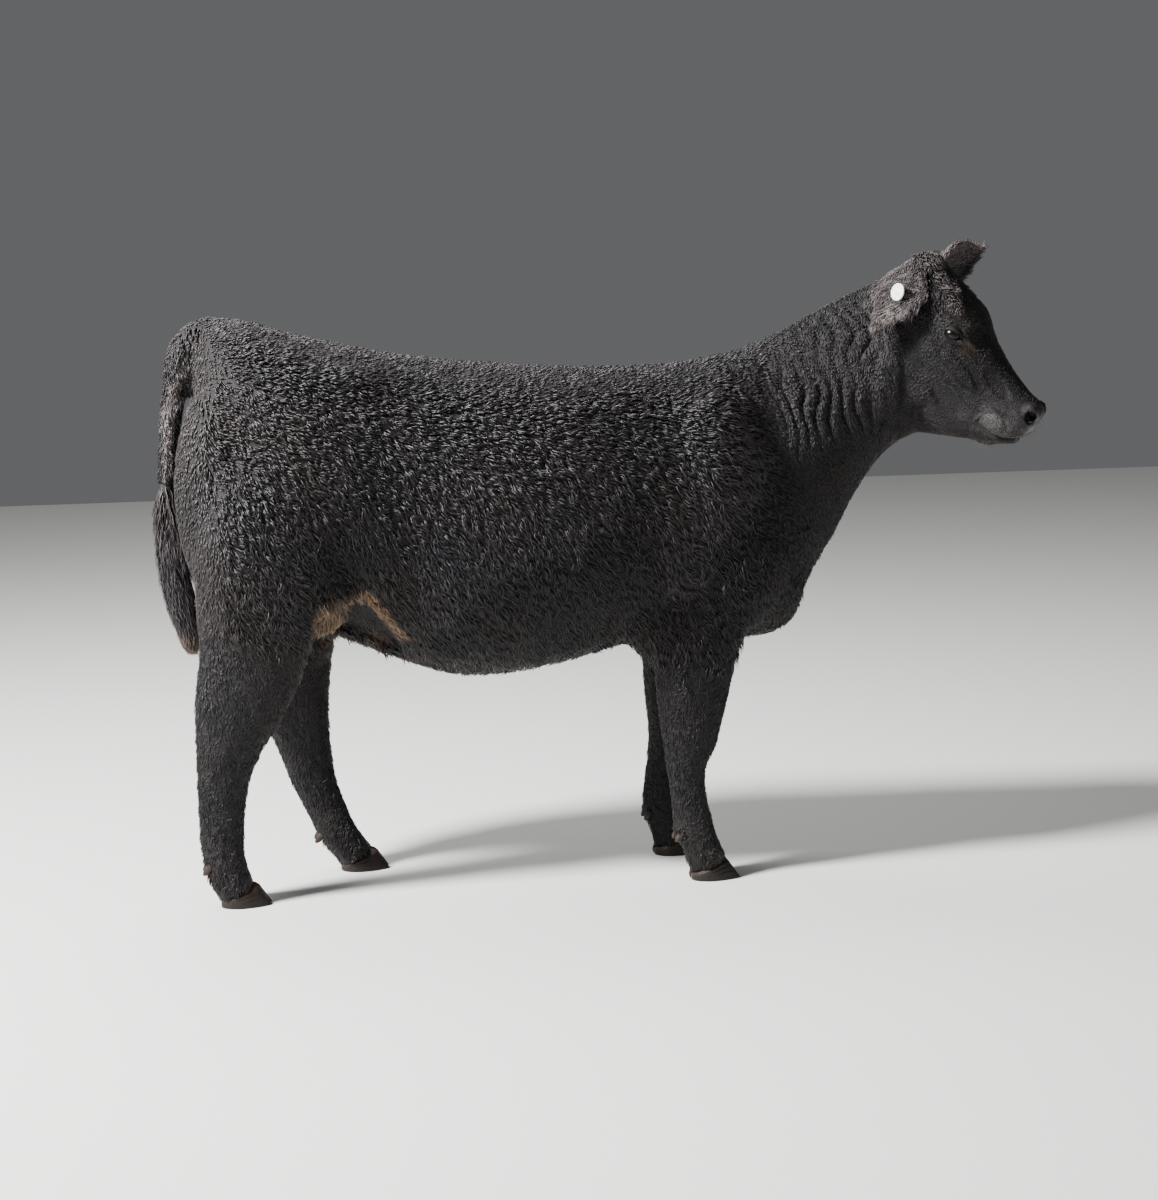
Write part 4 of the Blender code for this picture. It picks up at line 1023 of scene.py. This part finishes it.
def unwrap(points, middle, axis, reference):
    """Place of each point on an unrolled tube round an axis, filling the unit square."""
    axis = unit(np.asarray(axis, float))
    one = unit(np.cross(axis, reference))
    two = np.cross(axis, one)
    local = points - np.asarray(middle)
    around = np.arctan2(local @ one, local @ two)
    v = (around + math.pi) / (2 * math.pi)
    return np.column_stack([stretched(local @ axis), 0.004 + 0.988 * v])


def flank_tuft(points):
    """Where long tan hair hangs straight down from behind the flank's fold."""
    tuft = near(points * (1, 0, 1), (-0.548, 0.0, 0.560), (0.040, 1.0, 0.055))
    return tuft * (points[:, 2] > 0.50)


def body_lie(points, normals):
    """Way the hair lies: forward along the upper body, steeper low down, down the limbs."""
    low = smoothstep(0.98, 0.62, points[:, 2])
    neck = smoothstep(0.28, 0.42, points[:, 0])
    limb = smoothstep(0.50, 0.40, points[:, 2])
    rear = smoothstep(-0.74, -0.80, points[:, 0])
    lie = np.column_stack([0.85 - 0.45 * low, np.zeros(len(points)), -0.35 - 0.50 * low])
    ways = (
        (neck, (0.30, 0.0, -0.90)), (rear, (0.10, 0.0, -1.0)), (limb, (-0.12, 0.0, -1.0)),
        (flank_tuft(points), (0.06, 0.0, -1.0)),
    )
    for share, way in ways:
        lie = lie * (1 - share[:, None]) + np.array(way) * share[:, None]
    return lie


def head_lie(points, normals):
    """From the poll down the forehead and face, and back and down over the cheeks."""
    face = in_head(points)
    cheek = smoothstep(-0.06, -0.14, face[:, 1]) * (1 - smoothstep(0.28, 0.34, face[:, 0]))
    down = np.array((0.9, -0.3, 0.0)) + (0, 0, 0.25) * np.sign(face[:, 2:])
    back = np.array((-0.35, -0.90, 0.0))
    return (down * (1 - cheek[:, None]) + back * cheek[:, None]) @ HEAD_AXES.T


def in_ear(name, points):
    """Share of the way from an ear's root to its tip, and place across it."""
    root, tip, faces = (np.array(v) for v in EARS[name])
    local = (in_head(points) - root) @ aim(tip - root, faces)
    return local[:, 2] / np.linalg.norm(tip - root), local[:, 1] / (EAR_WIDTH / 2)


def ear_lie(name):
    """Function for the way the hair lies on an ear: to its tip, and down if it hangs."""
    root, tip, _ = EARS[name]
    run = unit(from_head(tip) - from_head(root))

    def lie(points, normals):
        along, _ = in_ear(name, points)
        droop = 0.5 * smoothstep(0.2, 0.8, along) * (name == "ear_right")
        return run - np.array((0.0, 0.0, 1.0)) * droop[:, None]

    return lie


LIES = {"head": head_lie, "ear_left": ear_lie("ear_left"), "ear_right": ear_lie("ear_right")}


# For each region: tufts per square metre, length, width, lift as a share of the length,
# how far the lie wanders in radians, and how strongly a tuft is waved
COAT = {
    "torso": (35500, 0.0205, 0.0033, 0.36, 0.42, 0.36),
    "neck": (62000, 0.0095, 0.0023, 0.24, 0.30, 0.24),
    "head": (82000, 0.0075, 0.0018, 0.22, 0.30, 0.18),
    "ear_left": (150000, 0.0125, 0.0016, 0.24, 0.35, 0.25),
    "ear_right": (170000, 0.0120, 0.0017, 0.26, 0.40, 0.30),
    "tail_dock": (80000, 0.0125, 0.0022, 0.28, 0.45, 0.35),
    **dict.fromkeys(("hindleg_left", "hindleg_right"), (57000, 0.0112, 0.0023, 0.19, 0.42, 0.34)),
    **dict.fromkeys(("foreleg_left", "foreleg_right"), (57000, 0.0108, 0.0023, 0.18, 0.42, 0.34)),
}
# Tube that each region is unrolled from: middle, axis, and the way its seam faces
UNWRAP_AXES = {
    "torso": ((0.0, 0.0, 0.74), (1, 0, 0), (0, 0, 1)),
    "neck": ((0.42, -0.02, 0.90), (0.75, -0.1, 0.6), (0, 1, 0)),
    "head": (from_head((0.18, -0.12, 0.0)), HEAD_AXES[:, 0], HEAD_AXES[:, 2]),
}


def scatter(skin, mask, density):
    """Even random places on the masked triangles, with their normals."""
    points, normals = surface_of(skin.data)
    triangles = triangles_of(skin.data)[mask]
    a, b, c = (points[triangles[:, k]] for k in range(3))
    area = np.linalg.norm(np.cross(b - a, c - a), axis=1) / 2
    edges = np.cumsum(area * density)
    count = int(edges[-1])
    picks = np.searchsorted(edges, np.arange(count) + RNG.random(count))
    corners = triangles[np.clip(picks, 0, len(triangles) - 1)]
    r1, r2 = np.sqrt(RNG.random(count)), RNG.random(count)
    share = np.column_stack([1 - r1, r1 * (1 - r2), r1 * r2])
    root = np.einsum("nk,nkd->nd", share, points[corners])
    return root, unit(np.einsum("nk,nkd->nd", share, normals[corners]))


def hairless(points):
    """Share of the coat that is missing: muzzle pad, lips, round the eye, in the flank."""
    _, below = mouth_place(points)
    lips = smoothstep(0.2, 0.5, pale_mark(points)) * (points[:, 0] > 0)
    mouth = (np.abs(below) < 0.0030) & (in_head(points)[:, 0] > MUZZLE_START)
    # The coat is thinned in the flank's hollow so the painted shade on the skin shows
    flank = 0.85 * flank_hollow(points) * (1 - tan_mark(points))
    bald = np.maximum.reduce([bare_mark(points), lips, mouth, flank])
    for side in (-1, 1):
        _, distance, angle = round_eye(points, side)
        bald = np.maximum(bald, (angle < 1.15) & (distance < 0.03))
    return bald


def size_changes(region, points, normals):
    """Where the coat changes along a region: share, change of length, change of lift."""
    if region == "torso":
        short = smoothstep(-0.15, -0.80, normals[:, 0]) * smoothstep(-0.62, -0.76, points[:, 0])
        short = np.maximum(short, 0.55 * smoothstep(0.26, 0.36, points[:, 0]))
        drop, reach = flank_drop(points)
        return (
            (short, -0.5, -0.45),
            (smoothstep(-0.6, -0.9, normals[:, 2]), -0.25, 0.0),
            (smoothstep(0.60, 0.92, normals[:, 2]), -0.48, -0.45),
            (reach * smoothstep(0.0, 0.02, drop), -0.4, -0.6),
            (flank_tuft(points), 0.7, 0.5),
        )
    if region == "head":
        face = in_head(points)
        crown = smoothstep(0.135, 0.085, face[:, 0]) * smoothstep(-0.12, -0.05, face[:, 1])
        eye = np.linalg.norm(np.abs(face) - np.abs(EYE_PLACE), axis=1)
        return (
            (crown, 1.1, 0.4),
            (smoothstep(0.24, 0.34, face[:, 0]), -0.45, 0.0),
            (smoothstep(0.2, 0.3, face[:, 0]), 0.0, -0.35),
            (smoothstep(0.035, 0.02, eye), -0.3, 0.0),
        )
    if "ear" in region:
        along, across = in_ear(region, points)
        fringe = np.maximum(smoothstep(0.55, 0.95, np.abs(across)), smoothstep(0.70, 0.95, along))
        return ((fringe, 0.9 if region == "ear_right" else 0.25, 0.0),)
    if "leg" in region:
        fetlock, coronet = ((0.16, 0.11), -0.25), ((0.085, 0.060), 0.75)
        return [(smoothstep(*ends, points[:, 2]), much, 0.0) for ends, much in (fetlock, coronet)]
    return ((smoothstep(0.42, 0.30, points[:, 0]), 0.35, 0.0),) if region == "neck" else ()


def lay(region, root, normal, wander):
    """Ways along and across each tuft, square to the skin's normal."""
    lie = LIES.get(region, body_lie)(root, normal)
    lie = unit(lie - normal * np.sum(lie * normal, axis=1, keepdims=True))
    drift = 0.75 * waves(root, 0.055, 31) + 0.5 * waves(root, 0.014, 32)
    turn = wander * drift + RNG.normal(0, 0.16, len(root))
    turn = turn * (1 - 0.8 * flank_tuft(root))
    lie = lie * np.cos(turn)[:, None] + np.cross(normal, lie) * np.sin(turn)[:, None]
    return lie, np.cross(normal, lie)


def tuft_paths(region, root, normal, length, lift, wander, wave):
    """Base, bend and tip of each tuft."""
    count = len(root)
    lie, side = lay(region, root, normal, wander)
    size, rise = np.full(count, length), np.full(count, lift)
    for share, longer, steeper in size_changes(region, root, normal):
        size *= 1 + longer * share
        rise *= 1 + steeper * share
    size = size * (0.72 + 0.56 * RNG.random(count)) * (1 + 0.16 * waves(root, 0.03, 33))
    rise = rise * (0.7 + 0.6 * RNG.random(count)) * (1 + 0.35 * waves(root, 0.02, 34))
    rise = np.clip(rise, 0.06, 0.9)
    curl = wave * size * (0.6 * RNG.normal(size=count) + 0.8 * np.sign(waves(root, 0.02, 35)))

    def place(along, up, across):
        return root + lie * along[:, None] + normal * up[:, None] + side * across[:, None]

    base = root - normal * DEPTH_ROOT - lie * size[:, None] * 0.05
    middle = place(0.42 * size, 0.42 * size * rise * 1.35, 0.30 * curl)
    tip = place(0.93 * size, 0.93 * size * rise, -0.28 * curl)
    tip[:, 2] = np.maximum(tip[:, 2], LOWEST_TIP)
    return np.stack([base, middle, tip], axis=1)


def painted_sun_share(region, root):
    """Share of painted sunlight on each tuft's tip, where a low share paints shade: slight on the head,
    less on forelegs, neck and thighs.
    """
    if region == "head":
        painted_sunlight = np.full(len(root), 0.12)
    else:
        painted_sunlight = painted_sun_mark(root) * (0.45 if "foreleg" in region else 1.0)
    painted_sunlight = painted_sunlight * (1 - 0.8 * smoothstep(0.32, 0.42, root[:, 0]))
    thigh = smoothstep(0.98, 0.80, root[:, 2]) * smoothstep(-0.40, -0.46, root[:, 0])
    return painted_sunlight * (1 - 0.4 * thigh)


def tuft_colours(region, root, normal, shade):
    """Shade, tan and pale of each tuft at its base, bend and tip."""
    # Darker from tip to base: painted shade where the tufts cover one another
    tint = np.stack([0.05 + 0.25 * shade, 0.15 + 0.45 * shade, 0.35 + 0.65 * shade], axis=1)
    tan = tan_mark(root)
    much = 0.9 if region == "tail_dock" else 0.6
    # Pale from the pale marks, and painted sunlight on the near side's crown
    pale = np.maximum(much * pale_mark(root), painted_crown_light(root))
    # Painted sunlight and shade: full tint where the sun share, tan or pale is high, a tenth of it
    # elsewhere
    lit = np.maximum.reduce([painted_sun_share(region, root), tan, np.clip(3 * pale, 0, 1)])
    tint *= (0.10 + 0.90 * lit)[:, None]
    # Ears: painted sunlight in pinkish grey, mottled over the near ear and paler toward its tip on one
    # side, and over the lit half of the far ear; each tuft darker toward its base as painted shade
    if "ear" in region:
        along, across = in_ear(region, root)
        tint = 0.35 + 0.65 * shade[:, None] * (0.4, 0.7, 1.0)
        white = smoothstep(0.55, 0.8, along) * smoothstep(0.1, -0.2, across)
        pale = np.clip(0.28 + 0.20 * waves(root, 0.016, 36) + 0.45 * white, 0.02, 1)
        if region == "ear_left":
            pale = 0.05 + 0.55 * smoothstep(-0.60, -0.15, across)
    if region == "torso":
        # Painted sheen: paler hair on the rump's rear-facing side and on the upward-facing back
        rear = smoothstep(-0.64, -0.78, root[:, 0]) * smoothstep(0.0, -0.8, normal[:, 0])
        back = smoothstep(0.65, 0.9, normal[:, 2])
        pale = np.maximum.reduce([pale, 0.14 * rear, 0.05 * back])
        # Painted shade in the hollow behind the flank's fold, except where it is tan
        dark = flank_hollow(root) * (1 - smoothstep(0.1, 0.4, tan))
        tint *= 1 - 0.9 * dark[:, None]
    if region in ("neck", "torso"):
        # Painted shade on the floors of the neck's grooves
        strength, grooves = fold_strength(root, normal)
        groove = np.clip(1.3 * strength * smoothstep(0.25, 0.7, grooves), 0, 1)
        tint *= 1 - 0.85 * groove[:, None]
    return {"shade": tint, "tan": np.outer(tan, np.ones(3)), "pale": np.outer(pale, np.ones(3))}


def grow_region(region, root, normal, hair):
    """A region's tufts, in pieces that stay small enough."""
    _, length, width, lift, wander, wave = COAT[region]
    paths = tuft_paths(region, root, normal, length, lift, wander, wave)
    broad = width * (0.7 + 0.6 * RNG.random(len(root)))
    half = broad[:, None] * (0.42, 0.5, 0.0)
    values = tuft_colours(region, root, normal, RNG.random(len(root)))
    outs = np.repeat(normal[:, None, :], 3, axis=1)
    tube = UNWRAP_AXES.get(region, (root.mean(axis=0), (0, 0, 1), (0, 1, 0)))
    patch = unwrap(root, *tube)
    order = np.argsort(patch[:, 0], kind="stable")
    parts = math.ceil(len(root) / MOST_TUFTS)
    for number, chosen in enumerate(np.array_split(order, parts)):
        own = np.column_stack([stretched(patch[chosen, 0]), patch[chosen, 1]])
        marks = {key: value[chosen] for key, value in values.items()}
        thick = half[chosen]
        name = f"coat_{region}_{number + 1}"
        strands(name, paths[chosen], outs[chosen], thick, 0.62 * thick, marks, own, hair)


def grow_coat(skin, label, hair):
    """Tufts over the whole skin, region by region."""
    owner = label(points_of(skin.data)[triangles_of(skin.data)].mean(axis=1))
    for region in COAT:
        root, normal = scatter(skin, owner == region, COAT[region][0])
        keep = RNG.random(len(root)) > hairless(root)
        keep &= root[:, 2] > LOWEST_ROOT
        grow_region(region, root[keep], normal[keep], hair)


# Tail switch
SWITCH_LOCKS = 2700
# Thickness of a lock at each of its rings, and the core's rings up the switch
LOCK_TAPER = (0.7, 1.0, 0.95, 0.8, 0.5, 0.0)
CORE_LEVELS = 14
CORE_STEPS = 20


def switch_outline(height):
    """Middle of the switch and its half thicknesses, at a height."""
    rows = np.array(SWITCH)[::-1]
    x, deep, wide = (np.interp(height, rows[:, 1], rows[:, k]) for k in (0, 2, 3))
    return x + SHIFT.x, np.full_like(x, SHIFT.y), deep / 2, wide / 2


def grow_switch(hair):
    """Long wavy locks that hang from the tail's end and fill the switch's outline."""
    low, high = SWITCH[-1][1] + 0.004, SWITCH_TOP + 0.02
    count = SWITCH_LOCKS
    share = RNG.random(count) ** 0.85
    top = high - share * (high - low - 0.06)
    length = np.minimum(0.050 + 0.045 * RNG.random(count), top - low)
    angle = RNG.random(count) * 2 * math.pi
    reach = 0.74 + 0.36 * RNG.random(count)
    sway = RNG.normal(0, 1, count)
    paths, outs = [], []
    for t in np.linspace(0, 1, len(LOCK_TAPER)):
        height = top - length * t
        x, y, half_x, half_y = switch_outline(height)
        turn = angle + 0.10 * sway * math.sin(3.0 * t)
        out = 0.30 + (reach - 0.30) * (1 - (1 - t) ** 2.2)
        radial = np.column_stack([np.cos(turn), np.sin(turn), np.zeros(count)])
        around = np.column_stack([-np.sin(turn), np.cos(turn), np.zeros(count)])
        wave = 0.0034 * np.sin(t * 8.5 + share * 80 + angle * 3) * t
        place = np.column_stack([x, y, height]) + radial * (out * (half_x + half_y) / 2)[:, None]
        place += around * (wave * np.sign(sway))[:, None] + radial * (0.6 * wave)[:, None]
        paths.append(place)
        outs.append(radial)
    paths, outs = np.stack(paths, axis=1), np.stack(outs, axis=1)
    broad = (0.0034 * (0.7 + 0.6 * RNG.random(count)))[:, None] * np.array(LOCK_TAPER) / 2
    # Each lock darker toward its root: painted shade inside the switch
    shade = RNG.random(count)[:, None] * np.linspace(0.5, 1.0, len(LOCK_TAPER))
    tip = smoothstep(0.53, 0.48, paths[:, :, 2])
    values = {"shade": shade, "tan": 0.4 * tip, "pale": np.full_like(shade, 0.10)}
    patch = unwrap(paths[:, 0], paths[:, 0].mean(axis=0), (0, 0, 1), (0, 1, 0))
    obj = strands("coat_switch", paths, outs, broad, broad * 0.6, values, patch, hair)


def switch_core(hide):
    """Dark core that fills the middle of the switch."""
    levels = np.linspace(SWITCH_TOP + 0.008, SWITCH[-1][1] + 0.104, CORE_LEVELS)
    middle_x, middle_y, half_x, half_y = switch_outline(levels)
    share = np.linspace(0.70, 0.20, CORE_LEVELS)
    around = circle(CORE_STEPS)
    x = middle_x[:, None] + np.outer(half_x * share, np.cos(around))
    y = middle_y[:, None] + np.outer(half_y * share, np.sin(around))
    rows = list(np.stack([x, y, np.repeat(levels[:, None], CORE_STEPS, axis=1)], axis=-1))
    rows = [shrunk(rows[0], 0.01), *rows, shrunk(rows[-1], 0.01)]
    core = band("tail_tip", rows, True)
    for mark in MARKS:
        attribute(core, mark, np.zeros(len(core.data.vertices)))
    core.data.materials.append(hide)
    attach(core, "root")
    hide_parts("tail_switch")


def fine_hairs(name, roots, ways, lengths, width, droop, pale, hair):
    """Single stiff hairs that leave the skin along their ways and bend down."""
    t = np.linspace(0, 1, 5)[None, :, None]
    reach = lengths[:, None, None] * t
    paths = roots[:, None, :] + ways[:, None, :] * reach + np.array((0, 0, -droop)) * reach * t
    outs = np.repeat(unit(np.cross(ways, (0.0, 0.0, 1.0)))[:, None, :], 5, axis=1)
    half = np.full(len(roots), width / 2)[:, None] * np.array((1.0, 0.85, 0.65, 0.4, 0.0))
    flat = np.ones((len(roots), 5))
    values = {"shade": 0.5 * flat, "tan": 0.0 * flat, "pale": pale * flat}
    patch = unwrap(roots, roots.mean(axis=0), HEAD_AXES[:, 0], HEAD_AXES[:, 2])
    strands(name, paths, outs, half, half, values, patch, hair)


LASHES = 46
WHISKERS = 150


def lashes_and_whiskers(skin, hair):
    """Upper lashes of both eyes, and whiskers round the muzzle and chin."""
    for side in (-1, 1):
        centre, turn = eye_place(side)
        phi = np.linspace(0.12, 0.88, LASHES) * math.pi + RNG.normal(0, 0.02, LASHES)
        ax, ay = LID_CORNER * np.cos(phi), LID_ABOVE * np.sin(phi)
        local = lid_way(ax, ay, np.hypot(ax, ay))
        roots = centre + local @ turn.T * (EYE_RADIUS + 0.0022)
        ways = unit(local + RNG.normal(0, 0.10, local.shape) + (0, 0.25, 0.55)) @ turn.T
        lengths = 0.009 + 0.005 * RNG.random(LASHES)
        fine_hairs(sided("lashes", side), roots, ways, lengths, 0.00045, 0.35, 0.0, hair)
    points, normals = surface_of(skin.data)
    face = in_half_head(points)
    _, below = mouth_place(points)
    chin = (face[:, 0] > 0.33) & (below > 0.004) & (below < 0.05)
    lip = (face[:, 0] > 0.36) & (below < -0.004) & (below > -0.035) & (face[:, 2] > 0.012)
    picks = RNG.choice(np.nonzero(chin | lip)[0], WHISKERS, replace=False)
    ways = unit(normals[picks] + 0.35 * HEAD_AXES[:, 0] + RNG.normal(0, 0.18, (WHISKERS, 3)))
    lengths = 0.006 + 0.013 * RNG.random(WHISKERS) ** 2
    roots = points[picks] - normals[picks] * 0.0005
    fine_hairs("whiskers", roots, ways, lengths, 0.00042, 0.25, 0.35, hair)


# Hooves and dewclaws

CLAW_ROWS = 16
CLAW_COLUMNS = 48
DEWCLAW_ROWS = 15
DEWCLAW_COLUMNS = 24
DEWCLAW_RADIUS = 0.0090


def claw(name, horn):
    """A claw with a bevelled sole, rings of growth and a rounded bulb at the heel."""
    low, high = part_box(name)
    side = 1 if "left" in name else -1
    outward = side if "outer" in name else -side
    inner = low.y if outward > 0 else high.y
    width, length = high.y - low.y, high.x - low.x
    front = length * (1 - CLAW_TOP_SHORTER)
    slope = math.tan(CORONET_SLOPE)
    angle = circle(CLAW_COLUMNS)
    along = (1 - np.cos(angle)) / 2
    rise, fall = np.maximum(np.sin(angle), 0), np.minimum(np.sin(angle), 0)
    rows = []
    for t in np.arange(CLAW_ROWS + 1) / CLAW_ROWS:
        edge = 1 - 0.05 * math.exp(-t * 14)
        tuck = 0.0065 * smoothstep(0.74, 1.0, t)
        reach = length * (1 - CLAW_TOP_SHORTER * t) - tuck
        wide = width * (1 - 0.06 * t) * edge - 0.5 * tuck
        wall = rise ** 0.8 * (1 - 0.56 * along ** 2) / 1.06
        out = wide * (wall + 0.05 * (1 + fall) + 0.15 * along ** 2)
        rings = 0.0005 * math.sin(t * 2 * math.pi * 4.5) * rise
        bulb = 0.002 * np.exp(-(along / 0.12) ** 2) * math.sin(math.pi * min(t * 1.3, 1))
        x = low.x + reach * along * (1 - 0.01 * (1 - edge)) - bulb
        top = high.z - (front - np.minimum(reach * along, front)) * slope
        z = np.maximum(top * t, 0.0) + 0.0002 * (t == 0)
        rows.append(np.column_stack([np.maximum(x, low.x), inner + outward * (out + rings), z]))
    sole = [shrunk(rows[0], *step) for step in ((0.02, 0.0015), (0.5, 0.0012), (0.9, 0.0001))]
    rows = [*sole, *rows, shrunk(rows[-1], 0.5), shrunk(rows[-1], 0.02)]
    obj = band("horn_" + name, rows, outward > 0)
    points = np.concatenate(rows)
    coronet = high.z - (front - np.clip(points[:, 0] - low.x, 0, front)) * slope
    share = np.clip((points[:, 2] - low.z) / (coronet - low.z), 0, 1)
    attribute(obj, "top", smoothstep(0.45, 0.98, share + 0.1 * waves(points, 0.02, 3)))
    obj.data.materials.append(horn)
    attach(obj, "root")
    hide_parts(name)


def dewclaw(name, horn):
    """A blunt nub of horn along the solid's own axis, pointing back."""
    cloud = points_of(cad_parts[name].data)
    middle = cloud.mean(axis=0)
    values, vectors = np.linalg.eigh(np.cov((cloud - middle).T))
    # The axis is the direction whose spread is least like the other two
    axis = vectors[:, np.argmax(np.abs(values[:, None] - values).sum(axis=1))]
    axis = -axis if axis[0] > 0 else axis
    along = (cloud - middle) @ axis
    one = unit(np.cross(axis, (0, 1, 0)))
    two = np.cross(axis, one)
    around = circle(DEWCLAW_COLUMNS)
    ring = np.outer(np.cos(around), one) + np.outer(np.sin(around), two) * 0.86
    rows = []
    for t in np.linspace(0, 1, DEWCLAW_ROWS):
        reach = along.min() + (along.max() - along.min()) * t
        radius = DEWCLAW_RADIUS * (1 - 0.42 * t) * math.sqrt(max(1 - t ** 4, 0.0)) + 0.0002
        radius *= 1 + 0.03 * math.sin(t * 40)
        rows.append(middle + axis * reach + ring * radius)
    obj = band("horn_" + name, rows, False)
    attribute(obj, "top", np.zeros(len(obj.data.vertices)))
    obj.data.materials.append(horn)
    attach(obj, "root")
    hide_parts(name)


# Ear tag

TAG_STEPS = 72
# Sections of the button, from its face to the stud, and of the disc, from its front to its
# back: radius and depth, the first from the button's face, the second from the disc's back
BUTTON = (
    (0.0002, 0.0000), (0.0034, 0.0000), (0.0042, -0.0006), (0.0048, -0.0014), (0.0136, -0.0016),
    (0.0145, -0.0006), (0.0158, -0.0002), (0.0166, -0.0008), (0.0170, -0.0022), (0.0168, -0.0038),
    (0.0156, -0.0046), (0.0040, -0.0048), (0.0034, -0.0060),
)
DISC = (
    (0.0034, 0.0040), (0.0094, 0.0036), (0.0100, 0.0026), (0.0100, 0.0010), (0.0092, 0.0000),
    (0.0002, 0.0000),
)


def ear_tag(plastic):
    """A plain round button with a rim and a boss, its stud, and the disc behind the ear."""
    cloud = points_of(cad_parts["ear_tag"].data)
    middle = cloud.mean(axis=0)
    axis = -unit(HEAD_AXES @ np.array(TAG_STUD_RUN))
    along = (cloud - middle) @ axis
    face, back = along.max(), along.min()
    disc = cloud[along > face - 0.004]
    centre = (disc.min(axis=0) + disc.max(axis=0)) / 2
    centre = centre + axis * (face - (centre - middle) @ axis)
    one = unit(np.cross(axis, (0, 0, 1)))
    two = np.cross(axis, one)
    around = circle(TAG_STEPS)
    ring = np.outer(np.cos(around), one) + np.outer(np.sin(around), two)
    section = BUTTON + tuple((radius, back - face + depth) for radius, depth in DISC)
    rows = [centre + ring * radius + axis * depth for radius, depth in section]
    obj = band("ear_button", rows, True)
    obj.data.materials.append(plastic)
    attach(obj, "root")
    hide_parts("ear_tag")


def main():
    place_camera()
    studio()
    skin, label = make_skin()
    hide = skin.data.materials[0]
    hair = coat_material()
    wet = eye_material()
    for side in (-1, 1):
        lids(side, hide)
        eyeball(side, wet)
    horn = horn_material(
        "hoof_horn", (0.0045, 0.0034, 0.0028), (0.0130, 0.0090, 0.0066), (0.022, 0.0120, 0.0075),
    )
    nub = horn_material(
        "dewclaw_horn", (0.011, 0.007, 0.0055), (0.038, 0.025, 0.019), (0.09, 0.06, 0.05),
    )
    for name in sorted(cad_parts):
        if "dewclaw" in name:
            dewclaw(name, nub)
        elif "claw" in name:
            claw(name, horn)
    ear_tag(tag_material())
    grow_coat(skin, label, hair)
    grow_switch(hair)
    switch_core(hide)
    lashes_and_whiskers(skin, hair)


main()
